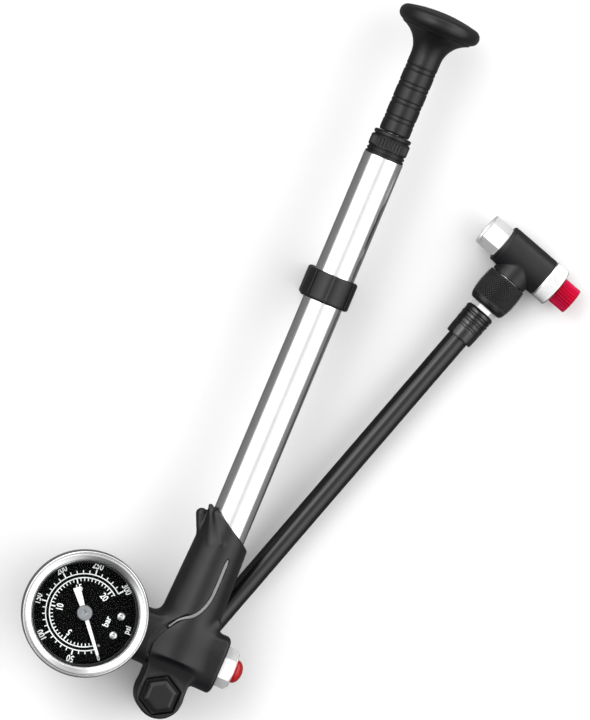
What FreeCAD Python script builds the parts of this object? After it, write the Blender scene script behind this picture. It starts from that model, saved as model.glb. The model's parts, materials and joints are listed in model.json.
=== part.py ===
import FreeCAD, Part
import math
import os
import re

import Sketcher

# High-pressure hand pump for suspension forks and shocks, lying flat with its gauge face up.
#
# Row frame, in millimetres: the origin is where the hose pivot's axis meets the surface that the pump lies
# on. +X runs along the barrel towards the handle, +Y towards the gauge, +Z up. The pump rests on the pivot
# nut, on the foot of the hose clip and on the belly of the swivel nut.
#
# Every turned piece is drawn as an outline of (radius, height) corners in the frame of its own axis, and
# each axis has a place of its own in AXES. A corner with a third value is reached by an arc of that
# radius, which is positive where the arc's centre lies to the left of the way to the corner.

Vector = FreeCAD.Vector
Z_AXIS = Vector(0, 0, 1)

# Driving dimensions: alias, value in millimetres or degrees, what it is
SIZES = [
    ("barrel_height", 21.0, "barrel axis above the surface"),
    ("barrel_radius", 6.5, "outside of the barrel tube"),
    ("barrel_bore", 5.5, "inside of the barrel tube"),
    ("barrel_foot", 30.0, "lower end of the tube, inside the manifold"),
    ("barrel_top", 182.4, "upper end of the tube, under the end cap"),
    ("rod_radius", 3.0, "piston rod"),
    ("rod_bore", 1.75, "hollow of the piston rod"),
    ("piston_foot", 35.0, "lower face of the piston"),
    ("piston_length", 11.0, "piston head"),
    ("ball_radius", 1.6, "ball of the check valve"),
    ("cap_top", 190.4, "top of the end cap"),
    ("cap_spigot", 8.4, "length of the end cap's spigot in the tube"),
    ("handle_foot", 190.7, "lower end of the grip"),
    ("grip_radius", 5.0, "shaft of the grip"),
    ("grip_groove", 0.32, "depth of the grip's grooves"),
    ("groove_first", 195.2, "first groove of the grip"),
    ("groove_pitch", 5.6, "distance from groove to groove"),
    ("flare_foot", 216.6, "where the grip starts to flare"),
    ("flare_radius", 8.7, "arc of the flare"),
    ("rim_reach", 11.3, "radius at which the flare meets the rim"),
    ("rim_low", 224.95, "underside of the rim"),
    ("rim_high", 230.15, "top of the rim"),
    ("rim_radius", 2.66, "arc of the rim"),
    ("crown_radius", 48.0, "arc of the knob's crown"),
    ("handle_top", 231.5, "crown of the knob"),
    ("crown_flat", 0.5, "radius of the flat at the middle of a domed end"),
    ("hose_height", 7.0, "hose axis above the surface"),
    ("hose_swing", 18.02, "angle from the barrel to the hose, towards -Y"),
    ("hose_radius", 3.5, "outside of the hose"),
    ("hose_bore", 1.55, "inside of the hose"),
    ("hose_start", 12.1, "lower end of the hose, inside its ferrule"),
    ("hose_end", 155.4, "upper end of the hose, inside its ferrule"),
    ("ferrule_radius", 4.75, "both ferrules"),
    ("ferrule_length", 11.3, "both ferrules"),
    ("ferrule_low", 10.2, "start of the lower ferrule"),
    ("ferrule_high", 146.0, "start of the upper ferrule"),
    ("banjo_radius", 6.5, "hose swivel on the pivot bolt"),
    ("banjo_height", 8.8, "hose swivel on the pivot bolt"),
    ("bolt_radius", 3.2, "shank of the pivot bolt"),
    ("washer_radius", 4.8, "washer under the bolt's head"),
    ("bolt_head_flats", 9.7, "across the flats of the bolt's head"),
    ("boss_radius", 7.46, "round boss that the bolt goes through"),
    ("boss_low", 11.7, "underside of the boss"),
    ("boss_high", 25.6, "floor of the boss's recess, under the bolt's head"),
    ("boss_rim", 27.0, "rim of the boss's recess"),
    ("recess_flats", 11.8, "across the flats of the boss's recess"),
    ("nut_low", 158.9, "lower end of the swivel nut"),
    ("nut_high", 170.1, "upper end of the swivel nut"),
    ("nut_belly", 7.0, "largest radius of the swivel nut"),
    ("head_reach", 178.1, "chuck axis along the hose"),
    ("head_radius", 6.55, "cross body of the head"),
    ("head_neck", 6.15, "neck of the head"),
    ("head_left", 9.0, "chuck end of the cross body"),
    ("head_right", 8.2, "knob end of the cross body, from the hose axis"),
    ("chuck_flats", 9.2, "across the flats of the chuck nut"),
    ("chuck_mouth", 15.7, "open end of the chuck nut"),
    ("chuck_thread", 3.85, "threaded bore for a car-type valve"),
    ("chuck_floor", 3.6, "inner end of the threaded bore"),
    ("collar_end", 13.2, "outer end of the head's knurled collar"),
    ("knob_radius", 4.4, "red knob"),
    ("knob_inner", 13.8, "inner face of the red knob"),
    ("knob_outer", 19.8, "outer face of the red knob"),
    ("bleed_x", 15.6, "bleed valve along the barrel"),
    ("bleed_flats", 11.4, "across the flats of the bleed valve's body"),
    ("bleed_seat", 14.3, "where the bleed valve's body meets the cover"),
    ("bleed_hex_end", 18.0, "end of the hexagon"),
    ("bleed_tip", 18.8, "mouth of the bleed valve's body"),
    ("button_radius", 3.75, "bleed button"),
    ("button_top", 21.8, "crown of the bleed button"),
    ("gauge_x", 15.1, "gauge centre along the barrel"),
    ("gauge_y", 32.1, "gauge centre beside the barrel"),
    ("gauge_back", 12.5, "back of the gauge case"),
    ("gauge_top", 31.3, "rim of the gauge case"),
    ("case_radius", 18.4, "outside of the gauge case"),
    ("bezel_radius", 20.0, "knurled rim of the bezel"),
    ("bezel_low", 28.8, "back edge of the bezel"),
    ("bezel_high", 34.8, "front of the bezel"),
    ("window_radius", 16.7, "opening of the bezel"),
    ("dial_height", 27.2, "face of the dial"),
    ("screw_reach", 11.7, "dial screws from the dial's centre"),
    ("stop_reach", 11.25, "stop pin from the dial's centre"),
    ("stop_angle", -134.1, "direction of the stop pin"),
    ("needle_height", 28.6, "back of the needle"),
    ("needle_rest", -140.3, "direction of the needle at zero pressure"),
    ("needle_reach", 14.3, "tip of the needle"),
    ("needle_tail", 8.3, "tail of the needle"),
    ("clip_start", 133.1, "lower edge of the hose clip"),
    ("clip_width", 9.4, "hose clip along the barrel"),
    ("clip_radius", 8.1, "hose clip round the barrel"),
    ("slot_radius", 3.7, "hose slot of the clip"),
    ("cover_low", 12.6, "underside of the base cover"),
    ("cover_high", 29.6, "face of the base cover"),
    ("sleeve_radius", 8.35, "base cover round the barrel"),
    ("stripe_width", 1.0, "grey inlay in the base cover"),
    ("running_gap", 0.05, "radial clearance of parts that turn or slide"),
    ("wall_gap", 0.02, "clearance of parts that are assembled for good"),
]
ALIASES = {alias for alias, _, _ in SIZES}

doc = FreeCAD.newDocument("Pump")
sheet = doc.addObject("Spreadsheet::Sheet", "Sizes")
for row, (alias, value, note) in enumerate(SIZES, start=1):
    sheet.set(f"A{row}", alias)
    sheet.set(f"B{row}", str(value))
    sheet.setAlias(f"B{row}", alias)
    sheet.set(f"C{row}", note)
doc.recompute()


def bound(text):
    """An expression in which each alias points at its cell."""
    return re.sub(r"[a-z_]+", lambda word: f"Sizes.{word[0]}" if word[0] in ALIASES else word[0], str(text))


def number(text):
    """The present value of an expression."""
    return float(sheet.evalExpression(bound(text)))


SPIN = {
    "up": FreeCAD.Rotation(),
    "+X": FreeCAD.Rotation(Vector(0, 1, 0), 90),
    "+Y": FreeCAD.Rotation(Vector(1, 0, 0), -90),
    "-Y": FreeCAD.Rotation(Vector(1, 0, 0), 90),
}
along_hose = FreeCAD.Rotation(Z_AXIS, -number("hose_swing")).multiply(SPIN["+X"])
across_hose = FreeCAD.Rotation(Z_AXIS, -number("hose_swing")).multiply(SPIN["+Y"])

# The axes that pieces are turned about: where each starts, and the way its own Z points
AXES = {
    "pivot": (("0", "0", "0"), SPIN["up"]),
    "barrel": (("0", "0", "barrel_height"), SPIN["+X"]),
    "valve": (("0", "0", "barrel_height"), SPIN["+X"]),
    "ball": (("barrel_foot - 5 - ball_radius", "0", "barrel_height"), SPIN["up"]),
    "bleed": (("bleed_x", "0", "barrel_height"), SPIN["-Y"]),
    "gauge": (("gauge_x", "gauge_y", "0"), SPIN["up"]),
    "stop": (("gauge_x + stop_reach * cos(stop_angle)", "gauge_y + stop_reach * sin(stop_angle)", "0"), SPIN["up"]),
    "needle": (("gauge_x", "gauge_y", "0"), FreeCAD.Rotation(Z_AXIS, number("needle_rest"))),
    "hose": (("0", "0", "hose_height"), along_hose),
    "head": (("head_reach * cos(hose_swing * 1deg)", "-head_reach * sin(hose_swing * 1deg)", "hose_height"),
             across_hose),
}

subparts = {}


def place(feature, corner, rotation):
    """Stand a feature at a corner given by three expressions."""
    feature.Placement = FreeCAD.Placement(Vector(*(number(value) for value in corner)), rotation)
    for letter, value in zip("xyz", corner):
        feature.setExpression(f"Placement.Base.{letter}", bound(value))


def finish(feature, label, axis):
    """Put a finished sub-part on its axis and file it under its own label."""
    corner, rotation = AXES[axis]
    place(feature, corner, rotation)
    feature.Label = label
    subparts[label] = feature
    return feature


def draw_outline(sketch, corners):
    """Draw a closed outline whose corners and arcs are bound to the sheet."""
    points = [Vector(number(corner[0]), number(corner[1]), 0) for corner in corners]
    edges = []
    for index, corner in enumerate(corners):
        start, end = points[index - 1], points[index]
        if len(corner) == 2:
            edges.append((sketch.addGeometry(Part.LineSegment(start, end), False), 1, 2))
            continue
        radius = number(corner[2])
        chord = end - start
        left = Vector(-chord.y, chord.x, 0).normalize()
        height = math.sqrt(max(radius**2 - (chord.Length / 2) ** 2, 0))
        centre = (start + end) / 2 + left * math.copysign(height, radius)
        begin, stop = (start, end) if radius > 0 else (end, start)
        angles = [math.atan2(point.y - centre.y, point.x - centre.x) for point in (begin, stop)]
        arc = Part.ArcOfCircle(Part.Circle(centre, Z_AXIS, abs(radius)), *angles)
        geometry = sketch.addGeometry(arc, False)
        edges.append((geometry, 1, 2) if radius > 0 else (geometry, 2, 1))
        rule = sketch.addConstraint(Sketcher.Constraint("Radius", geometry, abs(radius)))
        sketch.setExpression(f"Constraints[{rule}]", bound(f"abs({corner[2]})"))
    for index, (geometry, _, end) in enumerate(edges):
        following, start, _ = edges[(index + 1) % len(edges)]
        sketch.addConstraint(Sketcher.Constraint("Coincident", geometry, end, following, start))
        for kind, base, value, text in (
            ("DistanceX", -2, points[index].x, corners[index][0]),
            ("DistanceY", -1, points[index].y, corners[index][1]),
        ):
            if abs(value) < 1e-9:
                sketch.addConstraint(Sketcher.Constraint("PointOnObject", geometry, end, base))
                continue
            rule = sketch.addConstraint(Sketcher.Constraint(kind, -1, 1, geometry, end, value))
            sketch.setExpression(f"Constraints[{rule}]", bound(text))


def new_sketch(body, role, offset="0"):
    """A sketch on one of its body's own origin planes."""
    sketch = body.newObject("Sketcher::SketchObject", f"{body.Name}_outline")
    plane = next(item for item in body.Origin.OriginFeatures if item.Role == role)
    sketch.AttachmentSupport = [(plane, "")]
    sketch.MapMode = "FlatFace"
    if offset != "0":
        sketch.AttachmentOffset = FreeCAD.Placement(Vector(0, 0, number(offset)), FreeCAD.Rotation())
        sketch.setExpression("AttachmentOffset.Base.z", bound(offset))
    return sketch


def turned_body(name, corners):
    """A body turned about its own Z from an outline of (radius, height) corners."""
    body = doc.addObject("PartDesign::Body", name)
    sketch = new_sketch(body, "XZ_Plane")
    draw_outline(sketch, corners)
    turn = body.newObject("PartDesign::Revolution", f"{name}_turn")
    turn.Profile = sketch
    turn.ReferenceAxis = (sketch, ["V_Axis"])
    turn.Angle = 360
    return body


def turned(label, axis, corners):
    return finish(turned_body(label, corners), label, axis)


def ring(label, axis, inner, outer, low, high):
    """A plain turned ring or bush."""
    return turned(label, axis, [(inner, low), (outer, low), (outer, high), (inner, high)])


def o_ring_body(name, ring_radius, cord_radius, height):
    """An O-ring turned about Z from a round section."""
    body = doc.addObject("PartDesign::Body", name)
    sketch = new_sketch(body, "XZ_Plane")
    centre = Vector(number(ring_radius), number(height), 0)
    section = sketch.addGeometry(Part.Circle(centre, Z_AXIS, number(cord_radius)), False)
    for kind, places, value, text in (
        ("Radius", (section,), number(cord_radius), cord_radius),
        ("DistanceX", (-1, 1, section, 3), centre.x, ring_radius),
        ("DistanceY", (-1, 1, section, 3), centre.y, height),
    ):
        rule = sketch.addConstraint(Sketcher.Constraint(kind, *places, value))
        sketch.setExpression(f"Constraints[{rule}]", bound(text))
    turn = body.newObject("PartDesign::Revolution", f"{name}_turn")
    turn.Profile = sketch
    turn.ReferenceAxis = (sketch, ["V_Axis"])
    turn.Angle = 360
    return body


def o_ring(label, axis, ring_radius, cord_radius, height):
    return finish(o_ring_body(label, ring_radius, cord_radius, height), label, axis)


def padded_body(name, corners, low, height):
    """A body padded upwards from an outline in its own XY plane."""
    body = doc.addObject("PartDesign::Body", name)
    sketch = new_sketch(body, "XY_Plane", low)
    draw_outline(sketch, corners)
    pad = body.newObject("PartDesign::Pad", f"{name}_pad")
    pad.Profile = sketch
    pad.Length = number(height)
    pad.setExpression("Length", bound(height))
    return body


def cylinder(name, radius, low, high, corner=("0", "0", "0"), turn="up"):
    """A cylinder from low to high along the way that turn points, from a corner of the group's frame."""
    solid = doc.addObject("Part::Cylinder", name)
    solid.setExpression("Radius", bound(radius))
    solid.setExpression("Height", bound(f"({high}) - ({low})"))
    steps = {"up": (2, ""), "+X": (0, ""), "+Y": (1, ""), "-Y": (1, "-")}
    index, sign = steps[turn]
    base = list(corner)
    base[index] = f"{base[index]} + {sign}1 * ({low})"
    place(solid, base, SPIN[turn])
    return solid


def box(name, low, high):
    """A box between two corners of the group's frame."""
    solid = doc.addObject("Part::Box", name)
    for side, near, far in zip(("Length", "Width", "Height"), low, high):
        solid.setExpression(side, bound(f"({far}) - ({near})"))
    place(solid, low, SPIN["up"])
    return solid


def prism(name, flats, low, high):
    """A hexagonal bar about Z, given across its flats."""
    solid = doc.addObject("Part::Prism", name)
    solid.Polygon = 6
    solid.setExpression("Circumradius", bound(f"{flats} / 2 / cos(30deg)"))
    solid.setExpression("Height", bound(f"({high}) - ({low})"))
    place(solid, ("0", "0", low), SPIN["up"])
    return solid


def fuse(name, *solids):
    joined = doc.addObject("Part::MultiFuse", name)
    joined.Shapes = list(solids)
    return joined


def cut(name, solid, tool):
    rest = doc.addObject("Part::Cut", name)
    rest.Base = solid
    rest.Tool = tool
    return rest


def common(name, solid, other):
    shared = doc.addObject("Part::MultiCommon", name)
    shared.Shapes = [solid, other]
    return shared


def coil(label, axis, coil_radius, wire_radius, low, high, turns, turns_per_face=0):
    """A compression spring with its wire swept along a helix between two seats."""
    wire = number(wire_radius)
    length = number(high) - number(low) - 2 * wire
    helix = doc.addObject("Part::Helix", f"{label}_line")
    helix.setExpression("Radius", bound(coil_radius))
    helix.setExpression("Height", bound(f"({high}) - ({low}) - 2 * ({wire_radius})"))
    helix.Pitch = length / turns
    helix.SegmentLength = turns_per_face
    helix.Placement.Base = Vector(0, 0, number(low) + wire)
    section = doc.addObject("Part::Circle", f"{label}_section")
    section.setExpression("Radius", bound(wire_radius))
    place(section, (coil_radius, "0", f"{low} + {wire_radius}"), FreeCAD.Rotation(Vector(1, 0, 0), 90))
    sweep = doc.addObject("Part::Sweep", f"{label}_coil")
    sweep.Sections = [section]
    sweep.Spine = (helix, [])
    sweep.Solid = True
    sweep.Frenet = True
    return finish(sweep, label, axis)


# ---------------------------------------------------------------- barrel and plunger


def make_barrel():
    ring("barrel_tube", "barrel", "barrel_bore", "barrel_radius", "barrel_foot", "barrel_top")
    o_ring("barrel_seal", "barrel", "5.8", "0.7", "barrel_foot - 0.75")


def make_end_cap():
    """A plug with a spigot in the tube, a thin skirt, a ribbed ring and a flange for the handle."""
    spigot, skirt, ribbed, flange = "barrel_bore - wall_gap", "6.35", "6.2", "6.15"
    housing, throat = "4.2", "rod_radius + 0.3"
    top = "cap_top"
    turned("end_cap", "barrel", [
        (housing, "barrel_top - cap_spigot"),
        (spigot, "barrel_top - cap_spigot"),
        (spigot, "barrel_top + 0.05"),
        (skirt, "barrel_top + 0.05"),
        (skirt, "barrel_top + 0.8"),
        ("5.8", "barrel_top + 1.5"),
        ("5.8", "barrel_top + 2.3"),
        (ribbed, "barrel_top + 2.6"),
        (ribbed, f"{top} - 1.9"),
        ("5.85", f"{top} - 1.7"),
        ("5.85", f"{top} - 1.4"),
        (flange, f"{top} - 1.1"),
        (flange, f"{top} - 0.4"),
        ("5.75", top),
        (throat, top),
        (throat, f"{top} - 2.2"),
        (housing, f"{top} - 2.2"),
    ])
    bush = "rod_radius + running_gap + 0.01"
    ring("rod_bush", "barrel", bush, f"{housing} - wall_gap", "barrel_top - cap_spigot", f"{top} - 5.4")
    turned("rod_wiper", "barrel", [
        ("rod_radius + running_gap", f"{top} - 3"),
        ("rod_radius + 0.4", f"{top} - 5"),
        (f"{housing} - wall_gap", f"{top} - 5"),
        (f"{housing} - wall_gap", f"{top} - 2.3"),
        ("rod_radius + running_gap", f"{top} - 2.3"),
    ])


def make_plunger():
    """Hollow rod with the piston, its O-ring and the rubber bumper that ends the stroke."""
    ring("piston_rod", "barrel", "rod_bore", "rod_radius", "piston_foot + 3", "handle_top - 9.5")
    skirt, groove = "barrel_bore - 0.2", "3.75"
    socket = "rod_radius + wall_gap"
    turned("piston_head", "barrel", [
        ("1.2", "piston_foot"),
        ("4.6", "piston_foot"),
        (skirt, "piston_foot + 0.8"),
        (skirt, "piston_foot + 4.5"),
        (groove, "piston_foot + 4.5"),
        (groove, "piston_foot + 6.5"),
        (skirt, "piston_foot + 6.5"),
        (skirt, "piston_foot + piston_length"),
        (socket, "piston_foot + piston_length"),
        (socket, "piston_foot + 3"),
        ("1.2", "piston_foot + 3"),
    ])
    o_ring("piston_o_ring", "barrel", "4.6", "0.82", "piston_foot + 5.5")
    bumper_low = "piston_foot + piston_length + 0.05"
    ring("stop_bumper", "barrel", "rod_radius + wall_gap", "5.0", bumper_low, f"{bumper_low} + 3")


CORE_SHAFT, CORE_DISC, CORE_SHOULDER = "3.9", "9.0", "221.0"
CORE_DISC_LOW, CORE_DISC_HIGH = "226.2", "228.2"


def make_handle_core():
    socket = "rod_radius + wall_gap"
    turned("handle_core", "barrel", [
        (socket, "handle_foot + 1.3"),
        (CORE_SHAFT, "handle_foot + 1.3"),
        (CORE_SHAFT, CORE_SHOULDER),
        (CORE_DISC, CORE_DISC_LOW),
        (CORE_DISC, CORE_DISC_HIGH),
        ("0", CORE_DISC_HIGH),
        ("0", "handle_top - 9.4"),
        (socket, "handle_top - 9.4"),
    ])


def make_handle_grip():
    """Mushroom grip moulded over its core, with four shallow grooves round the shaft."""
    outline = [(CORE_SHAFT, "handle_foot"), ("grip_radius - 0.3", "handle_foot")]
    outline += [("grip_radius", "handle_foot + 0.5")]
    for index in range(4):
        middle = f"groove_first + {index} * groove_pitch"
        outline += [
            ("grip_radius", f"{middle} - 0.9"),
            ("grip_radius - grip_groove", f"{middle} - 0.4"),
            ("grip_radius - grip_groove", f"{middle} + 0.4"),
            ("grip_radius", f"{middle} + 0.9"),
        ]
    outline += [
        ("grip_radius", "flare_foot"),
        ("rim_reach", "rim_low", "-flare_radius"),
        ("rim_reach", "rim_high", "rim_radius"),
        ("crown_flat", "handle_top", "crown_radius"),
        ("0", "handle_top"),
        ("0", CORE_DISC_HIGH),
        (CORE_DISC, CORE_DISC_HIGH),
        (CORE_DISC, CORE_DISC_LOW),
        (CORE_SHAFT, CORE_SHOULDER),
    ]
    turned("handle_grip", "barrel", outline)


# ---------------------------------------------------------------- manifold, cover and check valve

SOCKET_FLOOR = "barrel_foot - 1.5"
PORT = "4.0"
SLEEVE_TOP = "50.0"


def manifold_outside(name):
    """The metal manifold without its holes: barrel socket, valve block and pivot boss."""
    middle = ("0", "0", "barrel_height")
    return fuse(
        name,
        cylinder(f"{name}_socket", "7.4", "23.5", SLEEVE_TOP, middle, "+X"),
        box(f"{name}_block", ("7.2", "-11.2", "14.6"), ("24", "10.2", "27.4")),
        box(f"{name}_bridge", ("0", "-4.2", "14.6"), ("8", "4.2", "24.2")),
        cylinder(f"{name}_boss", "5.6", "boss_low", "boss_high - 0.6"),
    )


def make_manifold():
    middle = ("0", "0", "barrel_height")
    holes = fuse(
        "manifold_holes",
        cylinder("hole_barrel", "barrel_radius + 0.03", SOCKET_FLOOR, f"{SLEEVE_TOP} + 1", middle, "+X"),
        cylinder("hole_valve", "2.3", "11.5", f"{SOCKET_FLOOR} + 1", middle, "+X"),
        cylinder("hole_passage", "1.0", "0", "12", middle, "+X"),
        cylinder("hole_bolt", "bolt_radius + running_gap", "boss_low - 1", "boss_high + 1"),
        cylinder("hole_gauge", PORT, "3.5", "11", ("gauge_x", "0", "barrel_height"), "+Y"),
        cylinder("hole_bleed", PORT, "3.0", "12", ("bleed_x", "0", "barrel_height"), "-Y"),
    )
    finish(cut("manifold_cut", manifold_outside("manifold_body"), holes), "manifold", "pivot")


def cover_outside():
    """The soft cover's outer form: block with neck, sleeve with a slanted lip, and the round boss."""
    depth = "cover_high - cover_low"
    block = padded_body("cover_block", [
        ("2.0", "-7.2"),
        ("5.6", "-10.4", "-3.6"),
        ("5.6", "-12.8"),
        ("7.2", "-bleed_seat", "1.6"),
        ("22.6", "-bleed_seat"),
        ("25.0", "-12.0", "2.4"),
        ("27.2", "-9.9", "-3.2"),
        ("30.0", "-9.3"),
        ("30.0", "8.6"),
        ("26.4", "8.7"),
        ("23.3", "12.2", "-3.6"),
        ("23.3", "17.5"),
        ("7.0", "17.5"),
        ("7.0", "11.8"),
        ("5.4", "8.4", "-3.2"),
        ("2.0", "7.2"),
    ], "cover_low", depth)
    sleeve = padded_body("cover_sleeve", [
        ("19.5", "-10"),
        ("51.8", "-10"),
        ("53.7", "-6.6"),
        ("60.4", "5.4"),
        ("60.0", "7.0"),
        ("54.0", "10"),
        ("19.5", "10"),
    ], "cover_low - 3", f"{depth} + 6")
    middle = ("0", "0", "barrel_height")
    round_sleeve = common("cover_round", sleeve, cylinder("cover_tube", "sleeve_radius", "19", "63", middle, "+X"))
    lip = common("cover_lip_form", padded_body("cover_lip", [
        ("53.4", "7.2"),
        ("56.5", "3.2"),
        ("60.2", "4.4"),
        ("61.7", "8.2"),
        ("58.8", "11.3"),
        ("54.8", "8.5"),
    ], "barrel_height - 4.5", "9"), cylinder("lip_round", "11.6", "52", "63", middle, "+X"))
    boss = cylinder("cover_boss", "boss_radius", "boss_low", "boss_rim")
    return fuse("cover_form", block, round_sleeve, lip, boss)


def stripe_body(name, width):
    """The inlay's run on the cover's face: straight beside the barrel, then bending to the gauge side."""
    half = f"({width}) / 2"
    return padded_body(name, [
        (f"47.2 + {half}", f"-3.1 - {half}"),
        (f"47.2 + {half}", f"-3.1 + {half}"),
        ("33.0", f"-3.1 + {half}"),
        ("26.8", f"0.4 + {half}"),
        ("22.6", f"5.1 + {half}"),
        ("19.2", f"7.2 + {half}"),
        ("9.0", f"8.4 + {half}"),
        ("9.0", f"8.4 - {half}"),
        ("19.0", f"7.0 - {half}"),
        ("22.2", f"4.9 - {half}"),
        ("26.4", f"0.1 - {half}"),
        ("33.0", f"-3.1 - {half}"),
    ], "cover_high - 4", "3.7")


def make_cover():
    middle = ("0", "0", "barrel_height")
    hollow = fuse(
        "cover_hollow",
        manifold_outside("cover_core"),
        cylinder("cover_barrel", "barrel_radius + 0.1", "40", "70", middle, "+X"),
        cylinder("cover_stem", PORT, "0", "20", ("gauge_x", "0", "barrel_height"), "+Y"),
        cylinder("cover_bleed", PORT, "0", "16", ("bleed_x", "0", "barrel_height"), "-Y"),
        cylinder("cover_case", "case_radius + 0.05", "0", "40", ("gauge_x", "gauge_y", "0")),
        cylinder("cover_bezel", "bezel_radius + 0.05", "bezel_low - 0.1", "40", ("gauge_x", "gauge_y", "0")),
        cylinder("cover_washer", "washer_radius + 0.05", "boss_high - 0.7", "40"),
        prism("cover_recess", "recess_flats", "boss_high", "40"),
        stripe_body("cover_stripe", "stripe_width + 0.04"),
    )
    finish(cut("cover_cut", cover_outside(), hollow), "base_cover", "pivot")
    shaped = common("stripe_shaped", stripe_body("stripe_run", "stripe_width"), cover_outside_copy())
    finish(cut("stripe_cut", shaped, manifold_outside("stripe_core")), "inlay_stripe", "pivot")


def cover_outside_copy():
    """A form a little inside the cover's face, which trims the inlay's ends to the sleeve."""
    middle = ("0", "0", "barrel_height")
    sleeve = cylinder("trim_sleeve", "sleeve_radius - 0.15", "19", "63", middle, "+X")
    block = box("trim_block", ("6", "-14", "14"), ("26", "10", "cover_high - 0.3"))
    return fuse("trim_form", sleeve, block)


def make_check_valve():
    """Seat, ball and spring that let air out of the barrel but not back."""
    seat_low = f"{SOCKET_FLOOR} - 3.5"
    ring("check_seat", "valve", "1.0", "2.3 - wall_gap", seat_low, f"{SOCKET_FLOOR} + 0.02")
    ball = doc.addObject("Part::Sphere", "check_sphere")
    ball.setExpression("Radius", bound("ball_radius"))
    finish(ball, "check_ball", "ball")
    coil("check_spring", "valve", "1.3", "0.2", "11.6", f"{seat_low} - 2.85", 6)


# ---------------------------------------------------------------- bleed valve


def make_bleed_valve():
    """A hexagonal body, and a domed button on a stem that lifts the seal off its seat when pressed."""
    corner = "bleed_flats / 2 / cos(30deg)"
    nose = turned_body("bleed_envelope", [
        ("0", "7"),
        (PORT + " - wall_gap", "7"),
        (PORT + " - wall_gap", "bleed_seat"),
        (corner, "bleed_seat"),
        (corner, "bleed_hex_end"),
        ("button_radius + 0.5", "bleed_tip"),
        ("0", "bleed_tip"),
    ])
    hexagon = fuse("bleed_bar", prism("bleed_hex", "bleed_flats", "bleed_seat", "bleed_tip"),
                   cylinder("bleed_thread", PORT + " - wall_gap", "7", "bleed_tip"))
    hole = turned_body("bleed_hole", [
        ("0", "6"),
        ("1.25", "6"),
        ("1.25", "14.5"),
        ("button_radius + 0.2", "14.5"),
        ("button_radius + 0.2", "20"),
        ("0", "20"),
    ])
    finish(cut("bleed_cut", common("bleed_outside", nose, hexagon), hole), "bleed_body", "bleed")
    turned("bleed_button", "bleed", [
        ("1.0", "17.2"),
        ("button_radius", "17.2"),
        ("button_radius", "19.3"),
        ("crown_flat", "button_top", "4.0"),
        ("0", "button_top"),
        ("0", "19.2"),
        ("1.0", "19.2"),
    ])
    turned("bleed_stem", "bleed", [
        ("0", "4.6"),
        ("2.4", "4.6"),
        ("2.4", "5.6"),
        ("0.95", "5.6"),
        ("0.95", "19.1"),
        ("0", "19.1"),
    ])
    o_ring("bleed_seal", "bleed", "1.75", "0.6", "6.25")
    coil("bleed_spring", "bleed", "2.6", "0.25", "14.55", "17.15", 2.5, 0.5)


# ---------------------------------------------------------------- pivot and hose


def make_pivot():
    """Hexagon-headed bolt through the boss and the hose swivel, with a nut below."""
    groove = "bolt_radius - 1.0"
    low, high = "hose_height - 2.8", "hose_height + 2.8"
    shank = turned_body("bolt_shank", [
        ("0", "0"),
        ("2.4", "0"),
        ("2.4", "2.5"),
        ("bolt_radius", "2.5"),
        ("bolt_radius", f"{low} - 0.65"),
        (groove, f"{low} - 0.65"),
        (groove, f"{low} + 0.65"),
        ("bolt_radius", f"{low} + 0.65"),
        ("bolt_radius", f"{high} - 0.65"),
        (groove, f"{high} - 0.65"),
        (groove, f"{high} + 0.65"),
        ("bolt_radius", f"{high} + 0.65"),
        ("bolt_radius", "boss_high + 0.7"),
        ("0", "boss_high + 0.7"),
    ])
    dome = turned_body("bolt_dome", [
        ("0", "boss_high + 0.6"),
        ("5.7", "boss_high + 0.6"),
        ("5.7", "boss_high + 3.1"),
        ("3.9", "boss_high + 4.5"),
        ("0", "boss_high + 4.5"),
    ])
    head = common("bolt_head", dome, prism("bolt_hex", "bolt_head_flats", "boss_high + 0.6", "boss_high + 4.5"))
    finish(fuse("bolt_whole", shank, head), "pivot_bolt", "pivot")
    ring("pivot_washer", "pivot", "bolt_radius + 0.1", "washer_radius", "boss_high - 0.58", "boss_high + 0.58")
    seals = fuse("pivot_o_rings", o_ring_body("seal_low", "2.72", "0.5", low),
                 o_ring_body("seal_high", "2.72", "0.5", high))
    finish(seals, "pivot_seals", "pivot")
    nut = cut("nut_cut", prism("nut_hex", "11", "0", "2.4"), cylinder("nut_hole", "2.4 + wall_gap", "-1", "3"))
    finish(nut, "pivot_nut", "pivot")


def make_hose_swivel():
    """Banjo on the pivot bolt, with a stub and a barb that holds the hose."""
    half = "banjo_height / 2"
    outside = fuse(
        "banjo_outside",
        cylinder("banjo_ring", "banjo_radius", f"-{half}", half, turn="+X"),
        cylinder("banjo_stub", "3.9", "3", "ferrule_low - 0.02"),
        cylinder("banjo_barb", "hose_bore - 0.05", "9", "20"),
    )
    holes = fuse(
        "banjo_holes",
        cylinder("banjo_bore", "bolt_radius + running_gap", "-6", "6", turn="+X"),
        cylinder("banjo_passage", "0.8", "0", "21"),
    )
    finish(cut("banjo_cut", outside, holes), "hose_swivel", "hose")


def make_ferrule(label, low, closed_first):
    """Crimped ferrule with three pairs of rings; its closed end faces the fitting."""
    bottom, top = ("0", "ferrule_length") if closed_first else ("ferrule_length", "0")
    wall = "1.8" if closed_first else "ferrule_length - 1.8"
    inner, throat = "hose_radius + running_gap", "hose_bore"
    corners = [
        (throat, f"{low} + {bottom}"),
        ("ferrule_radius - 0.6", f"{low} + {bottom}"),
        ("ferrule_radius", f"{low} + {bottom} * 0.95 + {top} * 0.05"),
        ("ferrule_radius", f"{low} + {top}"),
        (inner, f"{low} + {top}"),
        (inner, f"{low} + {wall}"),
        (throat, f"{low} + {wall}"),
    ]
    turned(label, "hose", corners if closed_first else corners[::-1])


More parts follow.
